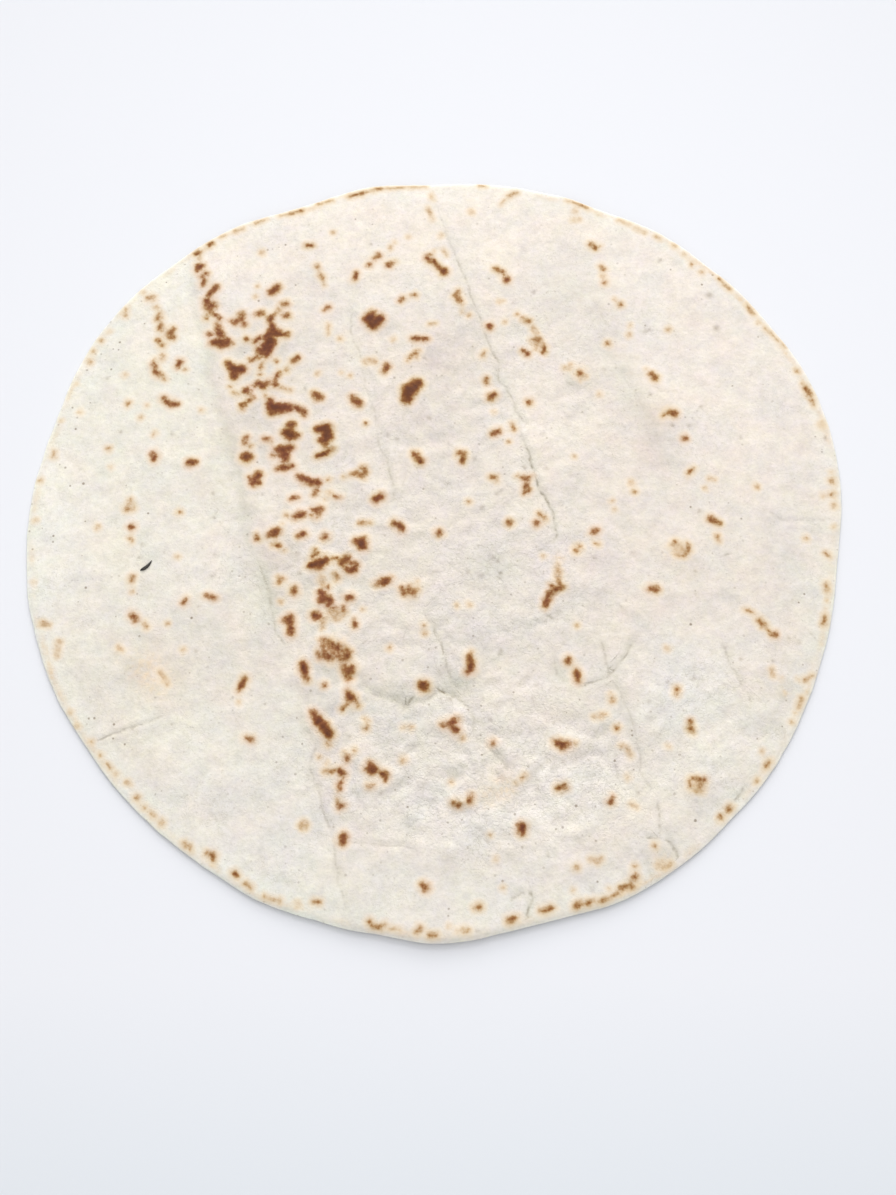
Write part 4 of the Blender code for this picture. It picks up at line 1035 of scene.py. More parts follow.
    @staticmethod
    def patches(x: Array, y: Array, table: Rows) -> Array:
        """Sum of round bell-shaped patches, held between 0 and 1.

        Args:
            x, y: Places along X and Y.
            table: Middle x and y, radius and strength of each patch.

        Returns:
            One strength for each place.
        """
        total = np.zeros_like(x)
        for middle_x, middle_y, radius, strength in table:
            total += strength * np.exp(-round_gap(x, y, middle_x, middle_y, radius))
        return np.clip(total, 0.0, 1.0)

    def shifts(self, x: Array, y: Array) -> Array:
        """What the soft patches of tone, painted light and painted shade add to the dough's red, green and
        blue, in steps out of 255.

        Each patch is an oval bell. Each stripe of painted shade beside a fold is a bell across its line.
        The band on the left adds its colour past a soft border along its line.

        Args:
            x, y: Places along X and Y.

        Returns:
            One row of red, green and blue for each place.
        """
        total = np.zeros((len(x), 3))
        for shade in self.tone_and_light_patches:
            total += np.exp(-oval_gap(x, y, shade[:5]))[:, None] * np.array(shade[5:])
        wander = layered_noise(x, y, [self.band_wander])
        _, signed, _ = distance_to_line(x + wander, y, self.band_line)
        outside = smooth_step(0.5 - 0.5 * signed / self.band_half_width)
        for line, left, half_width, darker in self.fold_painted_shade:
            near = near_line(x, y, line, 4.0 * half_width)
            _, signed, inside = distance_to_line(x[near] + 0.5 * wander[near], y[near], line)
            darkening = darker * smooth_step((inside + 1.0) / 8.0) * bell(signed - left, half_width)
            total[near] -= darkening[:, None] * np.array(self.fold_shade_shares)
        return total + outside[:, None] * np.array(self.band_tint)

    def tone_and_painted_light(self, x: Array, y: Array, side: Array) -> Array:
        """By how much the dough's colour is multiplied: (1 + shift / plain tone)^gamma.

        Args:
            x, y: Places along X and Y.
            side: How far each place lies on the rounded side of the edge, which takes painted light, from 0
                to 1.

        Returns:
            One row of red, green and blue for each place.
        """
        total = self.shifts(x, y) + self.near_edge(x, y)[:, None] * np.array(self.edge_tint)
        total += side[:, None] * np.array(self.side_painted_light)
        return (1.0 + total / self.plain_tone) ** self.gamma

    def near_edge(self, x: Array, y: Array) -> Array:
        """1 at the edge and 0 past a reach inwards, along an s-curve."""
        return smooth_step(1.0 - self.outline.inwards(x, y) / self.edge_reach)

    def toast(self, x: Array, y: Array) -> Array:
        """A golden band just inside the edge, stronger along the toasted stretches.

        Args:
            x, y: Places along X and Y.

        Returns:
            One strength for each place, from 0 to 1.
        """
        angle, strength = np.arctan2(y, x), np.full_like(x, self.toast_base)
        for direction, half_width, more in self.toasted_edges:
            strength += more * self.outline.towards(angle, direction, half_width)
        strength *= self.toast_share * (0.7 + layered_noise(x, y, [self.toast_patches]))
        middle = self.toast_inwards + layered_noise(x, y, [self.toast_wander])
        across = bell(self.outline.inwards(x, y) - middle, self.toast_half_width)
        return np.clip(strength * across, 0.0, 1.0)


@dataclass(frozen=True)
class ScorchPattern:
    """The scorch field of both faces, in millimetres of depth, and the pin pricks."""

    # the depth far from every mark, and how sharply neighbouring marks are joined, for each millimetre
    far: float = -3.0
    sharpness: float = 3.0
    # the limit far from every mark
    plain_limit: float = 0.15
    # how far a mark's depth may rise past its limit, so that a pale mark can't hide a darker one
    headroom: float = 0.6
    # how much shallower the border of the faintest mark is, the limit from which it is full, and over
    # what span below it fades
    most_fainter: float = 0.8
    full_limit: float = 1.4
    limit_span: float = 1.75
    # the marks' places are those seen past the dough's plain height by an eye at 70 degrees, so that a
    # place that lies lower takes its mark from nearer the eye
    lean: float = math.cos(math.radians(70.0)) / math.sin(math.radians(70.0))
    # the underside's marks: seed, count, how far from the middle, limits and how often each comes
    under_seed: int = 5
    under_marks: int = 170
    under_reach: float = 142.0
    under_limits: tuple[float, ...] = (1.2, 0.8, 0.5, 0.15, -0.2)
    under_odds: tuple[float, ...] = (0.2, 0.2, 0.25, 0.2, 0.15)
    # how far from a pin prick its bell is worked out, and the least radius that the grid can hold
    speck_reach: float = 3.0
    least_speck: float = 0.75

    def field(self, x: Array, y: Array, marks: Iterable[tuple[float, Stroke]]) -> tuple[Array, Array]:
        """The depth inside the marks, joined softly, and how far the dough there was baked.

        The depth is the logarithm of the sum of e^(sharpness * depth) over the marks, divided by the
        sharpness, where each mark's own depth is held to its limit and the headroom. The limits of the
        marks are averaged with the same weights.

        Args:
            x, y: Places along X and Y.
            marks: The limit and the stroke of each mark.

        Returns:
            The depth in millimetres and the limit of the depth, one of each for each place.
        """
        floor = math.exp(self.sharpness * self.far)
        weights, limits = np.full_like(x, floor), np.full_like(x, self.plain_limit * floor)
        for limit, stroke in marks:
            knots = np.asarray(stroke, float).reshape(-1, 3)
            near = near_line(x, y, knots[:, :2], float(knots[:, 2].max()) - self.far)
            depth = np.minimum(stroke_depth(x[near], y[near], stroke), limit + self.headroom)
            weight = np.exp(self.sharpness * depth)
            weights[near] += weight
            limits[near] += limit * weight
        limit = limits / weights
        return np.log(weights) / self.sharpness - self.fainter(limit), limit

    def fainter(self, limit: Array) -> Array:
        """How much shallower the border of a mark is, the more so the less it was baked."""
        return self.most_fainter * np.clip((self.full_limit - limit) / self.limit_span, 0.0, 1.0)

    def upper(self, x: Array, y: Array) -> tuple[Array, Array]:
        """The depth and the limit on the upper face."""
        marks = [(shade.value, stroke) for shade, strokes in SCORCH_MARKS.items() for stroke in strokes]
        return self.field(x, y, marks)

    def under(self, x: Array, y: Array) -> tuple[Array, Array]:
        """The depth and the limit on the underside: seeded marks of two to nine millimetres.

        Args:
            x, y: Places along X and Y.

        Returns:
            The depth and the limit, one of each for each place.
        """
        random = np.random.default_rng(self.under_seed)
        marks = []
        for _ in range(self.under_marks):
            reach, turn = self.under_reach * math.sqrt(random.uniform()), random.uniform(0.0, 2.0 * math.pi)
            middle = np.array([reach * math.cos(turn), reach * math.sin(turn)])
            heading = random.uniform(0.0, 2.0 * math.pi)
            step = random.uniform(1.0, 4.0) * np.array([math.cos(heading), math.sin(heading)])
            size = random.uniform(1.0, 2.6)
            limit = float(random.choice(self.under_limits, p=self.under_odds))
            marks.append((limit, (*middle, size, *(middle + step), 0.8 * size)))
        return self.field(x, y, marks)

    def specks(self, x: Array, y: Array) -> Array:
        """The grey pin pricks, each a bell no narrower than the grid can hold.

        Args:
            x, y: Places along X and Y.

        Returns:
            One strength for each place, from 0 to 1.
        """
        total = np.zeros_like(x)
        for middle_x, middle_y, radius in GREY_SPECKS:
            near = near_line(x, y, [(middle_x, middle_y)], self.speck_reach)
            gap = np.hypot(x[near] - middle_x, y[near] - middle_y)
            total[near] += min(1.0, 1.4 * radius) * bell(gap, max(radius, self.least_speck))
        return np.clip(total, 0.0, 1.0)


class Knots:
    """A material's node tree, with short calls to add and join its nodes."""

    def __init__(self, name: str) -> None:
        """Starts a material that holds a principled shader and its output.

        Args:
            name: The material's name.
        """
        self.material = bpy.data.materials.new(name)
        self.material.use_nodes = True
        self.tree = self.material.node_tree
        self.shader = self.tree.nodes["Principled BSDF"]
        self.place = self.add("ShaderNodeTexCoord").outputs["Object"]

    def put(self, socket: Socket, value: Any) -> None:
        """Joins a socket to another one, or gives it a value.

        Args:
            socket: The input.
            value: An output socket, or a plain value.
        """
        if isinstance(value, bpy.types.NodeSocket):
            self.tree.links.new(value, socket)
        else:
            socket.default_value = value

    def add(self, kind: str, inputs: dict[Any, Any] | None = None, **settings: Any) -> bpy.types.Node:
        """Adds a node.

        Args:
            kind: Name of the node's type.
            inputs: Value or output socket for each input, by name or by number.
            **settings: The node's own properties.

        Returns:
            The node.
        """
        node = self.tree.nodes.new(kind)
        for name, value in settings.items():
            setattr(node, name, value)
        for name, value in (inputs or {}).items():
            self.put(node.inputs[name], value)
        return node

    def math(self, operation: str, *values: Any, clamp: bool = False) -> Socket:
        """The result of a sum on sockets and numbers."""
        node = self.add("ShaderNodeMath", dict(enumerate(values)), operation=operation, use_clamp=clamp)
        return node.outputs[0]

    def noise(self, size_mm: float, detail: float = 2.0, rough: float = 0.5) -> Socket:
        """Noise whose features are about a size in millimetres, from 0 to 1."""
        inputs = {"Vector": self.place, "Scale": 1.0 / (size_mm * MM), "Detail": detail, "Roughness": rough}
        return self.add("ShaderNodeTexNoise", inputs).outputs["Fac"]

    def crossing(self, size_mm: float) -> Socket:
        """0 along the lines where a noise crosses its middle, and more beside them."""
        return self.math("ABSOLUTE", self.math("SUBTRACT", self.noise(size_mm, 3.0, 0.6), 0.5))

    def spread(
        self, value: Any, low: float, high: float, to_low: float = 0.0, to_high: float = 1.0
    ) -> Socket:
        """Maps a stretch of values onto another in a straight line, held at both ends."""
        inputs = {"Value": value, "From Min": low, "From Max": high, "To Min": to_low, "To Max": to_high}
        return self.add("ShaderNodeMapRange", inputs, clamp=True).outputs["Result"]

    def blend(self, share: Any, first: Any, second: Any, blend_type: str = "MIX") -> Socket:
        """Blends two colours by a share.

        Args:
            share: How much of the second colour is taken, from 0 to 1.
            first: The first colour or its socket.
            second: The second colour or its socket.
            blend_type: How the two are blended.

        Returns:
            The colour.
        """
        node = self.add("ShaderNodeMix", data_type="RGBA", blend_type=blend_type)
        # a mix node's inputs for colours are its first, seventh and eighth
        for number, value in ((0, share), (6, first), (7, second)):
            self.put(node.inputs[number], value)
        return node.outputs[2]

    def attribute(self, name: str) -> Socket:
        """A number kept on the mesh's points."""
        return self.add("ShaderNodeAttribute", attribute_name=name).outputs["Fac"]

    def ramp(self, value: Any, stops: list[tuple[float, tuple[float, ...]]]) -> bpy.types.Node:
        """A colour ramp.

        Args:
            value: The place on the ramp, from 0 to 1.
            stops: The place and the colour of each stop.

        Returns:
            The ramp's node.
        """
        node = self.add("ShaderNodeValToRGB", {"Fac": value})
        elements = node.color_ramp.elements
        while len(elements) < len(stops):
            elements.new(0.5)
        for element, (place, colour) in zip(elements, stops):
            element.position = place
            element.color = colour
        return node


def linear(red: float, green: float, blue: float, alpha: float = 1.0) -> tuple[float, float, float, float]:
    """A screen colour as linear light, with the usual two-part curve.

    Args:
        red, green, blue: The screen's light from 0 to 255.
        alpha: How far the colour covers.

    Returns:
        Red, green and blue from 0 to 1, and the cover.
    """
    parts = [value / 255.0 for value in (red, green, blue)]
    light = [p / 12.92 if p <= 0.04045 else ((p + 0.055) / 1.055) ** 2.4 for p in parts]
    return (*light, alpha)


@dataclass(frozen=True)
class DoughFinish:
    """Soft matt baked dough: cream and grey clouds, flour, pin pricks, toast and scorch marks, with painted
    shade.
    """

    name: str = "baked_dough_finish"
    warm: Colour = (219, 208, 195)
    cool: Colour = (213, 205, 196)
    # painted shade laid over the grey patches
    grey: Colour = (202, 199, 186)
    gold: Colour = (214, 182, 134)
    # painted shade in the creases, and below it the painted shade beside them, in the laps' dips and along
    # the veins
    crease: Colour = (150, 140, 122)
    shade: Colour = (196, 190, 172)
    toast: Colour = (212, 180, 134)
    speck: Colour = (128, 112, 92)
    heart: Colour = (100, 58, 44)
    # depth in millimetres, red, green, blue, and how far the dough is covered
    brown_ramp: Rows = (
        (-2.9, 231, 213, 202, 0.0),
        (-1.9, 227, 208, 190, 0.42),
        (-1.0, 218, 192, 168, 0.68),
        (-0.4, 197, 165, 138, 0.88),
        (0.0, 173, 137, 104, 1.0),
        (0.35, 149, 105, 69, 1.0),
        (0.7, 130, 79, 47, 1.0),
        (1.2, 114, 63, 38, 1.0),
        (1.9, 94, 50, 32, 1.0),
    )
    golden_ramp: Rows = (
        (-2.9, 230, 214, 202, 0.0),
        (-1.9, 225, 209, 185, 0.42),
        (-1.0, 216, 194, 161, 0.68),
        (-0.4, 195, 167, 129, 0.88),
        (0.0, 173, 139, 97, 1.0),
        (0.35, 149, 108, 63, 1.0),
        (0.7, 129, 82, 42, 1.0),
        (1.2, 110, 64, 32, 1.0),
        (1.9, 90, 51, 29, 1.0),
    )
    # the depths in millimetres where both ramps start and end
    ramp_from: float = -3.0
    ramp_to: float = 2.0
    specular: float = 0.2
    # strength of the fine relief, and its height in metres
    relief_strength: float = 0.85
    relief_height: float = 0.00022

    def stops(self, table: Rows) -> list[tuple[float, tuple[float, ...]]]:
        """A ramp's stops, with the depths between the ramps' ends brought to 0 to 1."""
        span = self.ramp_to - self.ramp_from
        return [((depth - self.ramp_from) / span, linear(*colour, cover)) for depth, *colour, cover in table]

    def make(self) -> bpy.types.Material:
        """Builds the material, one layer over the other."""
        return DoughLayers(self).build()


class DoughLayers(Knots):
    """The dough's colour, laid layer over layer, and its uneven matt face."""

    def __init__(self, finish: DoughFinish) -> None:
        """Starts from clouds of warmer and cooler dough, tinted by the soft tones, painted light and painted
        shade.

        Args:
            finish: The dough's colours.
        """
        super().__init__(finish.name)
        self.finish = finish
        cloud = self.spread(self.noise(15.0, 4.0, 0.6), 0.35, 0.65)
        clouds = self.blend(cloud, linear(*finish.warm), linear(*finish.cool))
        tone_and_painted_light = self.add("ShaderNodeAttribute", attribute_name="tone_and_painted_light").outputs["Color"]
        self.dough = self.blend(1.0, clouds, tone_and_painted_light, "MULTIPLY")

    def cover(self, share: Socket, colour: Colour) -> None:
        """Lays a screen colour over the dough by a share."""
        self.dough = self.blend(share, self.dough, linear(*colour))

    def build(self) -> bpy.types.Material:
        """The finished material.

        Returns:
            The material.
        """
        self.lay_tones()
        self.lay_flour()
        line, vein = self.lay_creases(), self.lay_veins()
        self.lay_pin_pricks()
        self.lay_toast()
        self.lay_scorch()
        self.dress_skin(((line, 1.2), (vein, 0.8), (self.wrinkles(), 0.75)))
        return self.material

    def lay_tones(self) -> None:
        """Lays on the grey patches of painted shade, the gold, and the painted shade in the laps, each
        broken up by noise.
        """
        uneven = self.spread(self.noise(5.0, 4.0, 0.65), 0.3, 0.7, 0.2, 1.4)
        blotch = self.spread(self.noise(2.5, 3.0, 0.6), 0.35, 0.65, 0.2, 1.0)
        grey, gold, shade = self.finish.grey, self.finish.gold, self.finish.shade
        layers = (("grey", uneven, grey), ("gold", blotch, gold), ("lap_shade", uneven, shade))
        for name, broken, colour in layers:
            self.cover(self.math("MULTIPLY", self.attribute(name), broken, clamp=True), colour)

    def lay_flour(self) -> None:
        """Adds small grains of more and less light, and faint blotches of hue."""
        mottle = self.math("ADD", self.noise(1.6, 3.0, 0.7), self.noise(5.0, 3.0, 0.6))
        mottle = self.spread(mottle, 0.65, 1.35, 0.90, 1.10)
        pink = self.spread(self.noise(7.0, 3.0, 0.6), 0.3, 0.7, 1.02, 0.98)
        butter = self.spread(self.noise(2.6, 3.0, 0.65), 0.3, 0.7, 1.035, 0.965)
        green, blue = self.math("MULTIPLY", mottle, pink), self.math("MULTIPLY", mottle, butter)
        light = self.add("ShaderNodeCombineColor", {0: mottle, 1: green, 2: blue})
        self.dough = self.blend(1.0, self.dough, light.outputs[0], "MULTIPLY")

    def lay_creases(self) -> Socket:
        """Lays painted shade in the creases, wobbly and broken by noise, and softer painted shade beside
        them.

        Returns:
            How far each place lies in a crease.
        """
        wobble = self.math("MULTIPLY_ADD", self.noise(1.5, 2.0, 0.6), 0.8, -0.4)
        off_line = self.math("ABSOLUTE", self.math("ADD", self.attribute("crease_side"), wobble))
        crease, broken = self.attribute("crease"), self.spread(self.noise(3.0, 2.0), 0.4, 0.62, 0.15, 1.0)
        line = self.math("MULTIPLY", self.spread(off_line, 0.05, 0.7, 0.8, 0.0), crease)
        line = self.math("MULTIPLY", line, broken)
        beside = self.math("MULTIPLY", self.spread(off_line, 0.3, 2.4, 0.35, 0.0), crease)
        self.cover(beside, self.finish.shade)
        self.cover(line, self.finish.crease)
        return line

    def lay_veins(self) -> Socket:
        """Lays painted shade along fine veins, the more so where the dough is crumpled.

        Returns:
            How far each place lies in a vein.
        """
        where = self.spread(self.noise(16.0, 2.0), 0.42, 0.66, 0.05, 0.3)
        where = self.math("MULTIPLY_ADD", self.attribute("crumpled"), 0.25, where)
        vein = self.math("MULTIPLY", self.spread(self.crossing(4.5), 0.0, 0.02, 1.0, 0.0), where)
        self.cover(vein, self.finish.shade)
        return vein

    def lay_pin_pricks(self) -> None:
        """Lays on grey-brown pricks in about a fourth of a pattern's cells, and drifts of grains."""
        cells = self.add("ShaderNodeTexVoronoi", {"Vector": self.place, "Scale": 1.0 / (2.3 * MM)})
        chosen = self.add("ShaderNodeSeparateColor", {"Color": cells.outputs["Color"]})
        keep = self.math("GREATER_THAN", chosen.outputs[0], 0.75)
        size = self.spread(chosen.outputs[1], 0.0, 1.0, 0.08, 0.24)
        prick = self.spread(self.math("SUBTRACT", size, cells.outputs["Distance"]), -0.05, 0.08)
        strength = self.spread(chosen.outputs[2], 0.0, 1.0, 0.1, 0.75)
        pricks = self.math("MULTIPLY", self.math("MULTIPLY", prick, keep), strength)
        drift = self.spread(self.noise(30.0, 2.0), 0.4, 0.65, 0.1, 1.0)
        grains = self.spread(self.noise(1.1, 2.0, 0.6), 0.62, 0.78, 0.0, 0.35)
        scattered = self.math("MAXIMUM", pricks, self.math("MULTIPLY", grains, drift))
        placed = self.math("MULTIPLY", self.attribute("speck"), 0.6)
        self.cover(self.math("MAXIMUM", scattered, placed, clamp=True), self.finish.speck)

    def lay_toast(self) -> None:
        """Lays on the grainy toast along the edge."""
        grain = self.spread(self.noise(2.2, 4.0, 0.7), 0.3, 0.7, 0.3, 1.2)
        toast = self.math("MULTIPLY", self.attribute("toast"), grain, clamp=True)
        self.cover(self.math("MULTIPLY", toast, 0.75), self.finish.toast)

    def lay_scorch(self) -> None:
        """Lays on the scorch marks, brown or golden, with a redder heart where they are deepest.

        The kept depth is made ragged by noise, held softly to what the mark was baked to, and broken up
        by finer noise, the more so inside the mark. The two ramps then turn the depth into a colour.
        """
        bake = self.attribute("bake")
        ragged = self.math("MULTIPLY_ADD", self.noise(2.2, 2.0, 0.5), 1.4, -0.7)
        inside = self.math("ADD", self.attribute("scorch"), ragged)
        limited = self.math("SMOOTH_MIN", inside, bake, 0.8)
        fine = self.math("ADD", self.noise(1.4, 3.0, 0.65), self.noise(3.2, 2.0, 0.6))
        fine = self.math("MULTIPLY_ADD", fine, 2.1, -2.1)
        fine = self.math("MULTIPLY", fine, self.spread(limited, -1.2, 0.6, 0.25, 1.0))
        start, span = self.finish.ramp_from, self.finish.ramp_to - self.finish.ramp_from
        depth = self.math("ADD", limited, fine)
        stop = self.math("MULTIPLY_ADD", depth, 1.0 / span, -start / span, clamp=True)
        brown = self.ramp(stop, self.finish.stops(self.finish.brown_ramp))
        golden = self.ramp(stop, self.finish.stops(self.finish.golden_ramp))
        hue = self.spread(self.noise(9.0, 2.0), 0.35, 0.65)
        hue = self.math("MAXIMUM", hue, self.attribute("near_edge"))
        hue = self.math("MAXIMUM", hue, self.spread(bake, 1.3, 0.5, 0.0, 0.75))
        mark = self.blend(hue, brown.outputs["Color"], golden.outputs["Color"])
        heart = self.spread(self.math("ADD", inside, fine), 1.3, 2.5, 0.0, 0.3)
        heart = self.math("MULTIPLY", heart, self.spread(bake, 0.7, 1.2))
        mark = self.blend(heart, mark, linear(*self.finish.heart))
        self.dough = self.blend(brown.outputs["Alpha"], self.dough, mark)

    def wrinkles(self) -> Socket:
        """How far each place lies in a wrinkle of the crumpled dough."""
        wrinkle = self.spread(self.crossing(3.4), 0.0, 0.10, 1.0, 0.0)
        return self.math("MULTIPLY", wrinkle, self.attribute("crumpled"))

    def dress_skin(self, grooves: tuple[tuple[Socket, float], ...]) -> None:
        """Joins the colour to the shader, with an uneven matt face and a fine relief of grain.

        Args:
            grooves: How far each place lies in a groove of the relief, and the groove's depth.
        """
        grain = self.math("ADD", self.noise(0.9, 3.0, 0.65), self.noise(2.4, 3.0))
        for groove, depth in grooves:
            grain = self.math("SUBTRACT", grain, self.math("MULTIPLY", groove, depth))
        strength, height = self.finish.relief_strength, self.finish.relief_height
        bump = self.add("ShaderNodeBump", {"Height": grain, "Strength": strength, "Distance": height})
        self.put(self.shader.inputs["Base Color"], self.dough)
        self.put(self.shader.inputs["Roughness"], self.spread(self.noise(3.0, 3.0), 0.3, 0.7, 0.66, 0.82))
        self.put(self.shader.inputs["Normal"], bump.outputs[0])
        self.put(self.shader.inputs["Specular IOR Level"], self.finish.specular)


@dataclass(frozen=True)
class BurntFlourFinish:
    """A sliver burnt to grey-black, dull and slightly rough."""

    name: str = "burnt_flour_finish"
    core: Colour = (38, 35, 32)
    dusted: Colour = (70, 66, 60)
    roughness: float = 0.75
    # strength of the fine grain, and its height in metres
    grain_strength: float = 0.5
    grain_height: float = 0.0001

    def make(self) -> bpy.types.Material:
        """Builds the material: two greys blended by fine noise, and a fine grain.

        Returns:
            The material.
        """
        knots = Knots(self.name)
        dust = knots.spread(knots.noise(0.8, 3.0, 0.6), 0.35, 0.75)
        colour = knots.blend(dust, linear(*self.core), linear(*self.dusted))
        strength, height = self.grain_strength, self.grain_height
        grain = {"Height": knots.noise(0.3, 3.0), "Strength": strength, "Distance": height}
        bump = knots.add("ShaderNodeBump", grain)
        knots.put(knots.shader.inputs["Base Color"], colour)
        knots.put(knots.shader.inputs["Normal"], bump.outputs[0])
        knots.put(knots.shader.inputs["Roughness"], self.roughness)
        return knots.material


@dataclass(frozen=True)
class TableFinish:
    """A plain pale table, very slightly cooler than white."""

    name: str = "table_finish"
    colour: Colour = (222, 222, 225)
    front_painted_shade: Colour = (199, 207, 212)
    # where a painted shade darkens the table towards the front, in metres
    front_from: float = -0.16
    front_to: float = -0.34
    roughness: float = 0.6
    specular: float = 0.2

    def make(self) -> bpy.types.Material:
        """Builds the material: one pale colour, with a painted shade that makes it a little darker in front
        of the bread.

        Returns:
            The material.
        """
        knots = Knots(self.name)
        along = knots.add("ShaderNodeSeparateXYZ", {"Vector": knots.place}).outputs["Y"]
        front = knots.spread(along, self.front_from, self.front_to)
        colour = knots.blend(front, linear(*self.colour), linear(*self.front_painted_shade))
        knots.put(knots.shader.inputs["Base Color"], colour)
        knots.put(knots.shader.inputs["Roughness"], self.roughness)
        knots.put(knots.shader.inputs["Specular IOR Level"], self.specular)
        return knots.material


def mesh_piece(name: str, points: Array, triangles: Array, finish: bpy.types.Material) -> bpy.types.Object:
    """A smooth-shaded piece from points in millimetres and triangles.

    Args:
        name: Name of the piece.
        points: One row (x, y, z) for each point.
        triangles: One row of three point numbers for each triangle, anticlockwise from outside.
        finish: The piece's material.

    Returns:
        The piece, linked to the scene.
    """
    mesh = bpy.data.meshes.new(name)
    mesh.vertices.add(len(points))
    mesh.vertices.foreach_set("co", (points * MM).astype(np.float32).ravel())
    mesh.loops.add(3 * len(triangles))
    mesh.loops.foreach_set("vertex_index", triangles.astype(np.int32).ravel())
    mesh.polygons.add(len(triangles))
    mesh.polygons.foreach_set("loop_start", np.arange(0, 3 * len(triangles), 3, dtype=np.int32))
    mesh.update(calc_edges=True)
    mesh.validate()
    mesh.shade_smooth()
    mesh.materials.append(finish)
    piece = bpy.data.objects.new(name, mesh)
    bpy.context.scene.collection.objects.link(piece)
    return piece


def put_on_points(piece: bpy.types.Object, name: str, values: Array) -> None:
    """Keeps a number, or a row of red, green and blue, for each point of a piece under a name.

    Args:
        piece: The piece.
        name: The name.
        values: One number or one row for each point.
    """
    if values.ndim == 1:
        kept = piece.data.attributes.new(name, "FLOAT", "POINT")
        kept.data.foreach_set("value", values.astype(np.float32))
    else:
        kept = piece.data.attributes.new(name, "FLOAT_COLOR", "POINT")
        rows = np.column_stack([values, np.ones(len(values))])
        kept.data.foreach_set("color", rows.astype(np.float32).ravel())


